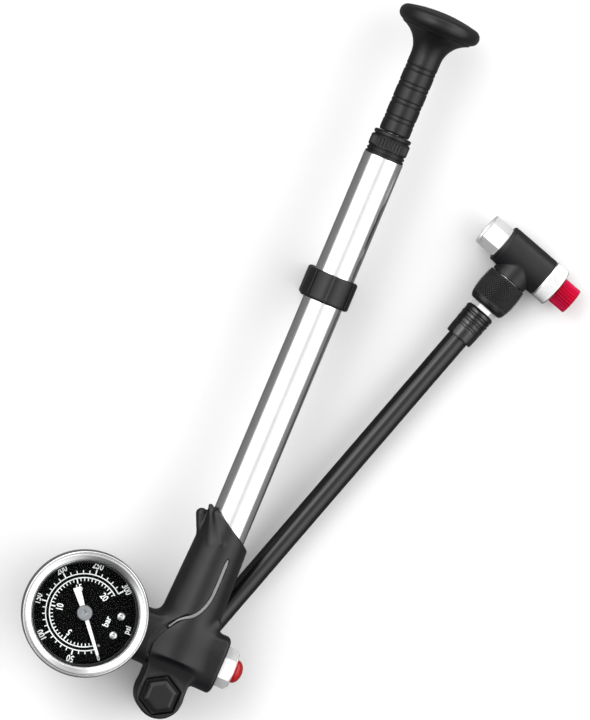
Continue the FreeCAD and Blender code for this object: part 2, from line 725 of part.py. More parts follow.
def make_hose():
    ring("hose", "hose", "hose_bore", "hose_radius", "hose_start", "hose_end")
    tube = subparts["hose"]
    doc.recompute()
    section = math.pi * (number("hose_radius") ** 2 - number("hose_bore") ** 2)
    length = number("hose_end - hose_start")
    print("hose: one straight run of", round(length, 2), "mm, volume over section times length",
          round(tube.Shape.Volume / (section * length), 5))


def make_nipple():
    """Bright fitting from the hose into the head: barb, hexagon flange, neck and swivel flange."""
    bar = prism("nipple_hex", "8.4", "157.4", "nut_low - 0.05")
    core = turned_body("nipple_core", [
        ("0.8", "147"),
        ("hose_bore - 0.05", "147"),
        ("hose_bore - 0.05", "157.4"),
        ("3.9", "157.4"),
        ("3.9", "nut_low - 0.05"),
        ("2.65", "nut_low - 0.05"),
        ("2.65", "163.7"),
        ("4.3", "163.7"),
        ("4.3", "166.9"),
        ("0.8", "166.9"),
    ])
    passage = cylinder("nipple_passage", "0.8", "146", "168")
    finish(cut("nipple_cut", fuse("nipple_whole", bar, core), passage), "hose_nipple", "hose")


# ---------------------------------------------------------------- head


def make_swivel_nut():
    """Barrel-shaped knurled nut that is screwed to the head and holds the nipple's flange."""
    turned("swivel_nut", "hose", [
        ("2.65 + running_gap", "nut_low + 0.4"),
        ("4.6", "nut_low + 0.1"),
        ("5.6", "nut_low + 0.5", "1.2"),
        ("nut_belly", "nut_low + 5.2", "16"),
        ("6.6", "nut_high", "28"),
        ("4.6", "nut_high"),
        ("4.6", "163.5"),
        ("2.65 + running_gap", "163.5"),
    ])
    o_ring("swivel_seal", "hose", "3.3", "0.5", "167.5")


def head_core_outside(name):
    """Cross tube with a threaded stub for the swivel nut; the stub points down the hose axis."""
    return fuse(
        name,
        cylinder(f"{name}_cross", "5.8", "-head_right + 0.2", "head_left - 0.3"),
        cylinder(f"{name}_stub", "4.55", "-9.95", "0", turn="+X"),
    )


def make_head():
    core_holes = fuse(
        "head_holes",
        cylinder("head_chuck_bore", "4.9", "1.5", "10"),
        cylinder("head_pin_bore", "1.3 + running_gap", "-6", "3"),
        cylinder("head_cap_bore", "4.82", "-9", "-2.8"),
        cylinder("head_passage", "0.8", "-11", "0", turn="+X"),
    )
    finish(cut("head_core_cut", head_core_outside("head_core_form"), core_holes), "head_core", "head")
    cross = turned_body("head_cross", [
        ("0", "-head_right"),
        ("head_radius - 0.4", "-head_right"),
        ("head_radius", "-head_right + 0.4", "0.4"),
        ("head_radius", "head_left - 1.2"),
        ("head_radius - 1.2", "head_left", "1.2"),
        ("0", "head_left"),
    ])
    neck = cylinder("head_throat", "head_neck", "nut_high + 0.1 - head_reach", "0", turn="+X")
    hollow = fuse("head_hollow", head_core_outside("head_cover_form"),
                  cylinder("head_ends", "5.35", "-10", "10"))
    finish(cut("head_cover_cut", fuse("head_outside", cross, neck), hollow), "head_cover", "head")


def make_chuck():
    """Hexagonal nut that turns in the head and screws on a tyre or fork valve, with its rubber seal."""
    bar = fuse("chuck_bar", prism("chuck_hex", "chuck_flats", "head_left + 0.1", "chuck_mouth"),
               cylinder("chuck_sleeve", "4.85", "chuck_floor", "head_left + 0.2"))
    corner = "chuck_flats / 2 / cos(30deg)"
    trim = turned_body("chuck_trim", [
        ("0", "0"),
        ("6", "0"),
        ("6", "chuck_mouth - 1"),
        (corner, "chuck_mouth - 0.45"),
        (f"{corner} - 0.45", "chuck_mouth"),
        ("0", "chuck_mouth"),
    ])
    bore = cylinder("chuck_bore", "chuck_thread", "0", "20")
    finish(cut("chuck_cut", common("chuck_shaped", bar, trim), bore), "chuck_nut", "head")
    ring("chuck_seal", "head", "1.3 + running_gap", "4.7", "1.6", "chuck_floor - 0.1")


def make_collar_and_knob():
    """Knurled end collar, and the red knob whose screw moves the pin that opens a valve's core."""
    turned("head_collar", "head", [
        ("1.9", "-4"),
        ("4.8", "-4"),
        ("4.8", "-head_right - 0.02"),
        ("6.45", "-head_right - 0.02"),
        ("6.45", "-collar_end + 0.3"),
        ("6.15", "-collar_end"),
        ("knob_radius + 0.3", "-collar_end"),
        ("knob_radius + 0.3", "-collar_end + 2.3"),
        ("1.9", "-collar_end + 2.3"),
    ][::-1])
    turned("pin_knob", "head", [
        ("0", "-knob_outer"),
        ("knob_radius - 0.3", "-knob_outer"),
        ("knob_radius", "-knob_outer + 0.3"),
        ("knob_radius", "-knob_inner - 0.3"),
        ("knob_radius - 0.3", "-knob_inner"),
        ("1.6", "-knob_inner"),
        ("1.6", "-knob_inner - 3"),
        ("0", "-knob_inner - 3"),
    ])
    turned("knob_screw", "head", [
        ("0", "-knob_inner - 2.9"),
        ("1.55", "-knob_inner - 2.9"),
        ("1.55", "-knob_inner"),
        ("1.8", "-knob_inner"),
        ("1.8", "-5.6"),
        ("0", "-5.6"),
    ])
    turned("core_pin", "head", [
        ("0", "-5.5"),
        ("1.7", "-5.5"),
        ("1.7", "-4.5"),
        ("1.3", "-4.5"),
        ("1.3", "chuck_floor - 0.4"),
        ("0", "chuck_floor - 0.2"),
    ])


# ---------------------------------------------------------------- gauge


def make_gauge_case():
    cup = turned_body("case_cup", [
        ("0", "gauge_back"),
        ("case_radius - 0.9", "gauge_back"),
        ("case_radius", "gauge_back + 0.9", "0.9"),
        ("case_radius", "gauge_top"),
        ("case_radius - 1", "gauge_top"),
        ("case_radius - 1", "gauge_back + 1"),
        ("0", "gauge_back + 1"),
    ])
    hole = cylinder("case_hole", PORT + " + wall_gap", "12", "20", ("0", "-gauge_y", "barrel_height"), "+Y")
    finish(cut("case_cut", cup, hole), "gauge_case", "gauge")


def make_gauge_front():
    """Bezel with a sloping band inside its rim, over the lens and the lens's gasket."""
    turned("gauge_bezel", "gauge", [
        ("case_radius + 0.05", "bezel_low"),
        ("bezel_radius - 0.4", "bezel_low"),
        ("bezel_radius", "bezel_low + 0.4"),
        ("bezel_radius", "bezel_high - 1.4"),
        ("bezel_radius - 0.7", "bezel_high - 0.2", "1.6"),
        ("bezel_radius - 1.5", "bezel_high", "1.6"),
        ("window_radius", "bezel_high - 1.1"),
        ("window_radius", "bezel_high - 1.9"),
        ("case_radius + 0.05", "bezel_high - 1.9"),
    ])
    ring_low, lens_low, lens_high = "gauge_top + 0.05", "gauge_top + 0.1", "gauge_top + 1.5"
    turned("gauge_lens", "gauge", [
        ("0", lens_low),
        ("case_radius - 0.1", lens_low),
        ("case_radius - 0.1", lens_high),
        ("0", lens_high),
    ])
    ring("lens_gasket", "gauge", "case_radius - 2.4", "case_radius - 1.05", "gauge_top - 0.9", ring_low)


def make_dial_and_screws():
    """The dial and, below its centre, the two screws that hold it to the movement."""
    plate = turned_body("dial_plate", [
        ("0.9", "dial_height - 0.6"),
        ("case_radius - 1.1", "dial_height - 0.6"),
        ("case_radius - 1.1", "dial_height"),
        ("0.9", "dial_height"),
    ])
    screws, holes = [], []
    for side, angle in enumerate(("-106", "-74")):
        spot = (f"screw_reach * cos({angle} * 1deg)", f"screw_reach * sin({angle} * 1deg)", "0")
        screws.append(fuse(
            f"dial_screw_{side}",
            cylinder(f"screw_head_{side}", "1.45", "dial_height + 0.02", "dial_height + 0.8", spot),
            cylinder(f"screw_shank_{side}", "0.7", "dial_height - 2.4", "dial_height + 0.1", spot),
        ))
        holes.append(cylinder(f"screw_hole_{side}", "0.7 + wall_gap", "20", "30", spot))
    finish(cut("dial_drilled", plate, fuse("dial_holes", *holes)), "gauge_dial", "gauge")
    finish(fuse("dial_screw_pair", *screws), "dial_screws", "gauge")


def make_needle():
    """Needle on its hub, with the arbor and pinion that turn it, and the pin it rests against."""
    pointer = padded_body("needle_blade", [
        ("-needle_tail", "-1.2"),
        ("-needle_tail", "1.2"),
        ("-1.5", "0.7"),
        ("needle_reach", "0.42"),
        ("needle_reach", "-0.42"),
        ("-1.5", "-0.7"),
    ][::-1], "needle_height", "0.35")
    finish(pointer, "gauge_needle", "needle")
    turned("needle_hub", "needle", [
        ("0", "needle_height + 0.37"),
        ("2.44", "needle_height + 0.37"),
        ("2.44", "needle_height + 1.1"),
        ("2.1", "needle_height + 1.4"),
        ("0", "needle_height + 1.4"),
    ])
    turned("needle_arbor", "needle", [
        ("0", "17"),
        ("0.6", "17"),
        ("0.6", "19.6"),
        ("1.4", "19.6"),
        ("1.4", "21.4"),
        ("0.6", "21.4"),
        ("0.6", "needle_height - 0.02"),
        ("0", "needle_height - 0.02"),
    ])
    pin_low, pin_high = "dial_height + 0.02", "needle_height + 0.6"
    turned("stop_pin", "stop", [("0", pin_low), ("0.35", pin_low), ("0.35", pin_high), ("0", pin_high)])


def make_movement():
    """Stem and socket, bourdon tube, the two plates of the movement and the sector that turns the arbor."""
    block = box("socket_block", ("-4", "-15.5", "17"), ("4", "-9.5", "24"))
    stem = cylinder("socket_stem", PORT + " - wall_gap", "4.5", "18", ("0", "-gauge_y", "barrel_height"), "+Y")
    passage = cylinder("socket_passage", "0.9", "4", "20.5", ("0", "-gauge_y", "barrel_height"), "+Y")
    finish(cut("socket_cut", fuse("socket_whole", block, stem), passage), "gauge_socket", "gauge")
    tube = doc.addObject("Part::Torus", "bourdon_ring")
    tube.Radius1 = 13.0
    tube.Radius2 = 1.4
    tube.Angle3 = 235
    tube.Placement = FreeCAD.Placement(Vector(0, 0, 20.5), FreeCAD.Rotation(Z_AXIS, -67))
    gap = box("bourdon_gap", ("-4.1", "-16", "17"), ("4.1", "-9", "24"))
    finish(cut("bourdon_cut", tube, gap), "bourdon_tube", "gauge")
    plates = [box(f"plate_{index}", ("-4.5", "-9.4", low), ("4.5", "6.5", high))
              for index, (low, high) in enumerate((("17.6", "18.6"), ("23.2", "24.2")))]
    posts = [cylinder(f"post_{index}", "0.9", "18.5", "23.3", (x, "5.2", "0"))
             for index, x in enumerate(("-3.3", "3.3"))]
    holes = [cylinder("arbor_hole", "0.6 + running_gap", "10", "30"),
             cylinder("sector_hole", "0.5 + running_gap", "10", "30", ("0", "-7.4", "0"))]
    frame = cut("frame_cut", fuse("frame_whole", *plates, *posts), fuse("frame_holes", *holes))
    finish(frame, "movement_frame", "gauge")
    wheel = padded_body("sector_plate", [
        ("-1.4", "-8.6"),
        ("1.4", "-8.6", "1.8"),
        ("3.6", "-2.6"),
        ("-3.6", "-2.6", "6.0"),
    ], "20", "1")
    arbor = cylinder("sector_shaft", "0.5", "17.2", "24.6", ("0", "-7.4", "0"))
    finish(fuse("sector_whole", wheel, arbor), "sector_gear", "gauge")


# ---------------------------------------------------------------- hose clip


def make_clip():
    """Collar on the barrel, with a foot below it and a slot open towards -Y that holds the hose."""
    span = "clip_start + clip_width"
    outside = fuse(
        "clip_outside",
        cylinder("clip_collar", "clip_radius", "clip_start", span, ("0", "0", "barrel_height"), "+X"),
        box("clip_block", ("clip_start", "-6.4", "0"), (span, "6.9", "barrel_height")),
    )
    edges = doc.addObject("Part::Fillet", "clip_rounded")
    edges.Base = outside
    doc.recompute()
    low = [index + 1 for index, edge in enumerate(outside.Shape.Edges)
           if edge.BoundBox.ZMax < 0.01 and edge.BoundBox.XLength > 5]
    edges.Edges = [(index, 3.0, 3.0) for index in low]
    holes = fuse(
        "clip_holes",
        cylinder("clip_bore", "barrel_radius + wall_gap", "100", "170", ("0", "0", "barrel_height"), "+X"),
        cylinder("clip_slot", "slot_radius", "100", "170", ("0", "0", "hose_height"), "+X"),
        box("clip_mouth", ("100", "-10", "hose_height - slot_radius"), ("170", "0", "hose_height + slot_radius")),
    )
    finish(cut("clip_cut", edges, holes), "hose_clip", "pivot")


make_barrel()
make_end_cap()
make_plunger()
make_handle_core()
make_handle_grip()
make_manifold()
make_cover()
make_check_valve()
make_bleed_valve()
make_pivot()
make_hose_swivel()
make_ferrule("lower_ferrule", "ferrule_low", True)
make_ferrule("upper_ferrule", "ferrule_high", False)
make_hose()
make_nipple()
make_swivel_nut()
make_head()
make_chuck()
make_collar_and_knob()
make_gauge_case()
make_gauge_front()
make_dial_and_screws()
make_needle()
make_movement()
make_clip()

doc.recompute()
faults = [item.Name for item in doc.Objects if {"Invalid", "Error"} & set(item.State)]
faults += [label for label, item in subparts.items() if item.Shape.isNull() or not item.Shape.isValid()]
if faults:
    raise RuntimeError(f"these did not build: {faults}")

os.makedirs("parts", exist_ok=True)
for label, item in subparts.items():
    item.Shape.exportStep(f"parts/{label}.step")
print(len(subparts), "sub-parts")
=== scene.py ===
import json
import math

import bpy
import numpy as np
from mathutils import Matrix, Vector


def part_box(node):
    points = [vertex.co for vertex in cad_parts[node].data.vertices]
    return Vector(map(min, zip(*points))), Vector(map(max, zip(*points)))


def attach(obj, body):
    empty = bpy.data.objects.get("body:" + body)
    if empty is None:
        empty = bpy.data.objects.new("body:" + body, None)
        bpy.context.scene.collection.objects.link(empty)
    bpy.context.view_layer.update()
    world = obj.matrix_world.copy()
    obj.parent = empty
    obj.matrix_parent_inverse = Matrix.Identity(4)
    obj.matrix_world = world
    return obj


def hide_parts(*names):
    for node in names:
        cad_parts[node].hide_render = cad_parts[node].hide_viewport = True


# The looks of the hand pump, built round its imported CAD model. Shapes are worked out in millimetres, in
# the frame of their own axis or of the pump, and become metres when their mesh is made.

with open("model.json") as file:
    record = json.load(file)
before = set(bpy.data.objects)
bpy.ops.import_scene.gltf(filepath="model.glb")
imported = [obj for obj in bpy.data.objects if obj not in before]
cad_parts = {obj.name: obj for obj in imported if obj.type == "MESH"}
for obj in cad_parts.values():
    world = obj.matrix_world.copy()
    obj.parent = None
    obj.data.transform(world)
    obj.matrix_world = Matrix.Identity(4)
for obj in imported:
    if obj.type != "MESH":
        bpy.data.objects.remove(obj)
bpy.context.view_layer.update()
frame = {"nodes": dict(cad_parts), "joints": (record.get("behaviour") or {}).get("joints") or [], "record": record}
record = frame["record"]
joints = {joint["name"]: joint for joint in frame["joints"]}
body_of = {node: body for body, nodes in record["behaviour"]["bodies"].items() for node in nodes}
slot_of = {part["node"]: part["material_slot"] for part in record["subparts"]}

MM = 0.001
TAU = 2 * math.pi

# --- places, from the frame


def middle(node):
    low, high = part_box(node)
    return (low + high) / 2


def limits(node, axis):
    """Where a CAD node starts and ends along an axis, in millimetres."""
    return [corner[axis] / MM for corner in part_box(node)]


def show(thing):
    bpy.context.scene.collection.objects.link(thing)


def axis_frame(origin, direction, side):
    """A matrix whose Z points along direction and whose X is as near to side as it can be."""
    z = Vector(direction).normalized()
    x = (Vector(side) - Vector(side).dot(z) * z).normalized()
    turn = Matrix((x, z.cross(x), z)).transposed().to_4x4()
    return Matrix.Translation(origin) @ turn


UP = Vector((0, 0, 1))
barrel_height = middle("barrel_tube").z
hose_height = joints["hose_swing"]["pos_m"][2]
hose_way = Vector(joints["head_swivel"]["axis"])
chuck_way = Vector(joints["chuck_turn"]["axis"])
chuck_centre = Vector(joints["chuck_turn"]["pos_m"]) - 12 * MM * chuck_way
gauge_centre = Vector((*joints["needle_turn"]["pos_m"][:2], 0))
bleed_foot = Vector((middle("bleed_button").x, 0, barrel_height))
PIVOT = Matrix.Identity(4)
BARREL = axis_frame((0, 0, barrel_height), (1, 0, 0), UP)
HOSE = axis_frame((0, 0, hose_height), hose_way, UP)
HEAD = axis_frame(chuck_centre, chuck_way, UP)
GAUGE = Matrix.Translation(gauge_centre)
BLEED = axis_frame(bleed_foot, (0, -1, 0), UP)

# --- camera, light and floor

VIEW_WAY = Vector((0.03, 0.10, 1)).normalized()
VIEW_UP = Vector((0.9215, 0.3885, 0))
VIEW_TARGET = Vector((0.1132, 0.0011, barrel_height))
VIEW_HEIGHT = 0.2257
VIEW_LENS, VIEW_SENSOR = 600.0, 36.0


def make_camera():
    data = bpy.data.cameras.new("camera")
    data.lens, data.sensor_width = VIEW_LENS, VIEW_SENSOR
    distance = VIEW_HEIGHT * VIEW_LENS / VIEW_SENSOR
    camera = bpy.data.objects.new("camera", data)
    camera.matrix_world = axis_frame(VIEW_TARGET + VIEW_WAY * distance, VIEW_WAY, VIEW_WAY.cross(-VIEW_UP))
    show(camera)
    bpy.context.scene.camera = camera


class Nodes:
    """A short way to write a node tree."""

    def __init__(self, tree):
        self.tree = tree
        tree.nodes.clear()

    def add(self, kind, settings=(), **inputs):
        node = self.tree.nodes.new(kind)
        for key, value in dict(settings).items():
            setattr(node, key, value)
        for key, value in inputs.items():
            self.put(node, key.replace("_", " "), value)
        return node

    def put(self, node, key, value):
        socket = node.inputs[int(key)] if key.isdigit() else node.inputs[key]
        if isinstance(value, bpy.types.NodeSocket):
            self.tree.links.new(value, socket)
        else:
            socket.default_value = value

    def end(self, kind, shader):
        self.tree.links.new(shader.outputs[0], self.add(kind).inputs["Surface"])

    def math(self, operation, first, second=0.0):
        node = self.tree.nodes.new("ShaderNodeMath")
        node.operation = operation
        self.put(node, "0", first)
        self.put(node, "1", second)
        return node.outputs[0]

    def ramp(self, value, *stops):
        """A smooth ramp through (position, grey) stops."""
        node = self.tree.nodes.new("ShaderNodeValToRGB")
        node.color_ramp.interpolation = "EASE"
        elements = node.color_ramp.elements
        while len(elements) < len(stops):
            elements.new(0.5)
        for element, (place, grey) in zip(elements, stops):
            element.position = place
            element.color = (grey, grey, grey, 1)
        self.tree.links.new(value, node.inputs["Fac"])
        return node.outputs["Color"]


# Stops along -1 to 1 of Y and of X, both shifted to 0 to 1, and along Z, each with its brightness.
BOXES = ((0.0, 0.45), (0.07, 0.60), (0.17, 1.0), (0.27, 0.74), (0.38, 0.30), (0.49, 0.25), (0.51, 0.18),
         (0.535, 0.25), (0.62, 0.30), (0.74, 1.0), (0.86, 0.75), (1.0, 0.40))
ENDS = ((0.04, 0.12), (0.28, 0.50), (0.46, 1.0), (0.75, 1.0), (0.95, 0.70))
RISE = ((0.02, 0.12), (0.12, 0.30), (0.26, 1.0))
GLOW_END, GLOW_RISE = ((0.45, 0.0), (0.85, 0.75)), ((0.02, 1.0), (0.5, 0.0))
WORLD_STRENGTH = 3.5


def make_world():
    """White studio: a wide softbox on each side, a dimmer strip overhead, and a dark band at the horizon."""
    world = bpy.data.worlds.new("studio")
    bpy.context.scene.world = world
    world.use_nodes = True
    net = Nodes(world.node_tree)
    way = net.add("ShaderNodeSeparateXYZ", Vector=net.add("ShaderNodeTexCoord").outputs["Generated"])
    height, side, end = way.outputs["Z"], way.outputs["Y"], way.outputs["X"]
    boxes = net.ramp(net.math("ADD", net.math("MULTIPLY", side, 0.5), 0.5), *BOXES)
    ends = net.ramp(net.math("ADD", net.math("MULTIPLY", end, 0.5), 0.5), *ENDS)
    above = net.ramp(height, *RISE)
    glow = net.math("MULTIPLY", net.ramp(end, *GLOW_END), net.ramp(height, *GLOW_RISE))
    light = net.math("ADD", net.math("MULTIPLY", net.math("MULTIPLY", boxes, above), ends), glow)
    strength = net.math("MULTIPLY", light, WORLD_STRENGTH)
    net.end("ShaderNodeOutputWorld", net.add("ShaderNodeBackground", Color=(1, 1, 1, 1), Strength=strength))


def make_lamp(name, place, size, power):
    """A round soft lamp that looks at the middle of the pump."""
    data = bpy.data.lights.new(name, "AREA")
    data.shape, data.size, data.energy = "DISK", size, power
    lamp = bpy.data.objects.new(name, data)
    lamp.matrix_world = axis_frame(place, Vector(place) - VIEW_TARGET, (1, 0, 0))
    show(lamp)


def make_ground(name, height, material):
    """A level sheet on the stage, made as a grid."""
    half, count = 2.0, 24
    steps = np.linspace(-half, half, count)
    points = [(x, y, height) for x in steps for y in steps]
    firsts = [row * count + col for row in range(count - 1) for col in range(count - 1)]
    faces = [(first, first + count, first + count + 1, first + 1) for first in firsts]
    mesh = bpy.data.meshes.new(name)
    mesh.from_pydata(points, [], faces)
    sheet = bpy.data.objects.new(name, mesh)
    mesh.materials.append(material)
    show(sheet)
    return sheet


CARD_LIFT = 0.05 * MM


def make_floor():
    """A pale floor, and a dark card on it that only reflections see, as a studio's black flags do."""
    pale = surface("pale_floor", (0.72, 0.72, 0.72), 0.9, vary=0.01, patch=3.0, grain=0.02, grain_size=0.002,
                   shine=0.05)
    floor = make_ground("floor", 0.0, pale)
    floor.visible_glossy = False
    card = make_ground("dark_card", CARD_LIFT, surface("dark_card", (0.12, 0.12, 0.12), 0.9, shine=0.05))
    card.visible_camera = card.visible_diffuse = card.visible_shadow = card.visible_transmission = False


# --- materials


def surface(name, colour, roughness, metallic=0.0, vary=0.12, patch=120.0, grain=0.0, grain_size=0.00012,
            streak=(1, 1, 1), scuff=0.05, edge=0.0, shine=0.33, **shader):
    """A procedural finish: uneven colour, uneven gloss, a fine grain and worn edges."""
    material = bpy.data.materials.new(name)
    material.use_nodes = True
    net = Nodes(material.node_tree)
    place = net.add("ShaderNodeTexCoord").outputs["Object"]
    lined = net.add("ShaderNodeMapping", Vector=place, Scale=streak).outputs[0]
    cloud = net.add("ShaderNodeTexNoise", Vector=place, Scale=patch, Detail=3.0).outputs[0]
    fine = net.add("ShaderNodeTexNoise", Vector=lined, Scale=1 / grain_size, Detail=2.0).outputs[0]
    dark = [value * (1 - vary) for value in colour]
    light = [min(1.0, value * (1 + vary)) for value in colour]
    tint = net.add("ShaderNodeMix", {"data_type": "RGBA"})
    net.put(tint, "0", net.ramp(cloud, (0.3, 0.0), (0.7, 1.0)))
    net.put(tint, "6", (*dark, 1))
    net.put(tint, "7", (*light, 1))
    base = tint.outputs[2]
    if edge:
        worn = net.add("ShaderNodeMix", {"data_type": "RGBA"})
        sharp = net.add("ShaderNodeNewGeometry").outputs["Pointiness"]
        net.put(worn, "0", net.math("MULTIPLY", net.ramp(sharp, (0.52, 0.0), (0.62, 1.0)), edge))
        net.put(worn, "6", base)
        net.put(worn, "7", (0.32, 0.32, 0.32, 1))
        base = worn.outputs[2]
    gloss = net.add("ShaderNodeMapRange", Value=fine)
    net.put(gloss, "3", max(0.02, roughness - scuff))
    net.put(gloss, "4", min(1.0, roughness + scuff))
    bsdf = net.add("ShaderNodeBsdfPrincipled", Base_Color=base, Metallic=metallic)
    net.put(bsdf, "Specular IOR Level", 0.5 if metallic else shine)
    net.put(bsdf, "Roughness", gloss.outputs[0])
    for key, value in shader.items():
        net.put(bsdf, key.replace("_", " "), value)
    if grain:
        bump = net.add("ShaderNodeBump", Height=fine, Distance=grain * MM)
        net.put(bsdf, "Normal", bump.outputs[0])
    net.end("ShaderNodeOutputMaterial", bsdf)
    return material


GLASS_HEAD_ON, GLASS_GRAZING = 0.002, 0.9  # shares of light that the glass reflects


def clear_glass():
    """Thin clear glass: what is behind it shows through, with a faint reflection at grazing angles."""
    material = bpy.data.materials.new("clear_lens")
    material.use_nodes = True
    net = Nodes(material.node_tree)
    place = net.add("ShaderNodeTexCoord").outputs["Object"]
    smear = net.add("ShaderNodeTexNoise", Vector=place, Scale=90.0, Detail=2.0).outputs[0]
    haze = net.add("ShaderNodeMapRange", Value=smear)
    net.put(haze, "3", 0.02)
    net.put(haze, "4", 0.09)
    gloss = net.add("ShaderNodeBsdfGlossy", Color=(1, 1, 1, 1))
    net.put(gloss, "Roughness", haze.outputs[0])
    clear = net.add("ShaderNodeBsdfTransparent", Color=(0.98, 0.99, 0.99, 1))
    slant = net.add("ShaderNodeLayerWeight", Blend=0.5).outputs["Facing"]
    grazing = net.math("MULTIPLY", net.math("POWER", slant, 5.0), GLASS_GRAZING)
    amount = net.math("ADD", grazing, GLASS_HEAD_ON)
    mix = net.add("ShaderNodeMixShader", Fac=amount)
    net.tree.links.new(clear.outputs[0], mix.inputs[1])
    net.tree.links.new(gloss.outputs[0], mix.inputs[2])
    net.end("ShaderNodeOutputMaterial", mix)
    return material


ALONG_BARREL = (0.02, 1, 1)


def make_finishes():
    """A material for each slot of the record, and a chrome for the bezel."""
    drawn = dict(metallic=1.0, vary=0.03, streak=ALONG_BARREL)
    soft = dict(vary=0.16, patch=260.0, grain=0.012, grain_size=0.00016)
    return {
        "barrel": surface("drawn_barrel", (0.90, 0.90, 0.91), 0.17, grain=0.0012, grain_size=0.0001, **drawn),
        "black_plastic": surface("moulded_black", (0.006, 0.006, 0.006), 0.34, **soft),
        "soft_cover": surface("soft_touch_cover", (0.006, 0.006, 0.007), 0.37, **soft),
        "grey_inlay": surface("grey_inlay", (0.17, 0.17, 0.17), 0.45, grain=0.01),
        "grip": surface("soft_touch_grip", (0.006, 0.006, 0.006), 0.35, edge=0.04, **soft),
        "bolt_black": surface("black_bolt", (0.005, 0.005, 0.006), 0.32, grain=0.006, edge=0.05),
        "hose_rubber": surface("hose_rubber", (0.004, 0.004, 0.004), 0.26, grain=0.004, shine=0.45),
        "ferrule_black": surface("gloss_ferrule", (0.004, 0.004, 0.005), 0.18, grain=0.003, edge=0.12,
                                 shine=0.6),
        "bright_metal": surface("bright_nickel", (0.90, 0.90, 0.90), 0.26, metallic=0.55, vary=0.03,
                                grain=0.001),
        "bezel_chrome": surface("bezel_chrome", (0.66, 0.66, 0.66), 0.20, metallic=1.0, vary=0.06, patch=60.0,
                                grain=0.001),
        "knurled_bright": surface("bright_knurl", (0.97, 0.97, 0.97), 0.30, metallic=1.0, vary=0.02,
                                  grain=0.001),
        "knurled_black": surface("black_knurl", (0.004, 0.004, 0.005), 0.32, grain=0.004, edge=0.06,
                                 shine=0.36),
        "head_black": surface("head_black", (0.007, 0.007, 0.008), 0.38, **soft),
        "red_anodised": surface("red_anodised", (0.62, 0.006, 0.062), 0.28, metallic=0.75, vary=0.08,
                                grain=0.002),
        "red_gloss": surface("red_gloss", (0.34, 0.002, 0.004), 0.16, vary=0.06, shine=0.3, Coat_Weight=0.12,
                             Coat_Roughness=0.05),
        "dial_black": surface("dial_black", (0.001, 0.001, 0.001), 0.7, vary=0.2, grain=0.002, shine=0.03),
        "needle_white": surface("needle_white", (0.92, 0.92, 0.92), 0.42, vary=0.02, grain=0.003),
        "hub_grey": surface("hub_grey", (0.28, 0.28, 0.29), 0.34, metallic=0.6, vary=0.05, grain=0.002),
        "case_steel": surface("brushed_case", (0.66, 0.66, 0.67), 0.24, metallic=1.0, vary=0.05, grain=0.002,
                              streak=(1, 1, 0.05)),
        "lens": clear_glass(),
        "brass": surface("turned_brass", (0.62, 0.44, 0.18), 0.28, metallic=1.0, vary=0.08, grain=0.002),
        "steel": surface("ground_steel", (0.60, 0.60, 0.61), 0.20, grain=0.0012, **drawn),
        "aluminium_plain": surface("machined_aluminium", (0.74, 0.75, 0.76), 0.3, metallic=1.0, grain=0.002),
        "seal_rubber": surface("seal_rubber", (0.012, 0.012, 0.012), 0.5, grain=0.006),
        "core_plastic": surface("nylon_core", (0.045, 0.045, 0.047), 0.5, grain=0.01),
    }


# --- pieces


def add_piece(name, points, faces, node, place=PIVOT, slot=None, smooth=40, replaces=True):
    """A mesh piece from points in millimetres, which stands for a CAD node and rides on its body."""
    mesh = bpy.data.meshes.new(name)
    mesh.from_pydata((np.asarray(points) * MM).tolist(), [], [tuple(face) for face in faces])
    mesh.transform(place)
    mesh.validate()
    mesh.shade_smooth()
    mesh.set_sharp_from_angle(angle=math.radians(smooth))
    mesh.update()
    piece = bpy.data.objects.new(name, mesh)
    show(piece)
    slot = slot or slot_of[node]
    mesh.materials.append(finishes[slot])
    if replaces:
        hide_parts(node)
    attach(piece, body_of[node])
    return piece


FILLET_STEP = 12  # degrees


def rounded(corners, step=None):
    """A run of (radius, height[, fillet]) corners with its fillets as arcs, cut finer than step."""
    line = []
    for index, corner in enumerate(corners):
        here = np.array(corner[:2], float)
        fillet = corner[2] if len(corner) > 2 else 0
        if not fillet or index in (0, len(corners) - 1):
            line.append(here)
            continue
        before = np.array(corners[index - 1][:2], float) - here
        after = np.array(corners[index + 1][:2], float) - here
        a, b = before / np.linalg.norm(before), after / np.linalg.norm(after)
        half = math.acos(max(-1, min(1, a @ b))) / 2
        if half > math.radians(89):
            line.append(here)
            continue
        reach = min(fillet / math.tan(half), 0.48 * np.linalg.norm(before), 0.48 * np.linalg.norm(after))
        radius = reach * math.tan(half)
        centre = here + (a + b) / np.linalg.norm(a + b) * radius / math.sin(half)
        first, last = here + a * reach - centre, here + b * reach - centre
        sweep = math.pi - 2 * half
        turns = max(3, int(math.degrees(sweep) / FILLET_STEP))
        whole = math.sin(sweep)
        for share in np.linspace(0, 1, turns + 1):
            spoke = (math.sin((1 - share) * sweep) * first + math.sin(share * sweep) * last) / whole
            line.append(centre + spoke)
    if step:
        fine = [line[0]]
        for point in line[1:]:
            parts = max(1, math.ceil(np.linalg.norm(point - fine[-1]) / step))
            start = fine[-1]
            fine += [start + (point - start) * part / parts for part in range(1, parts + 1)]
        line = fine
    return np.array(line)


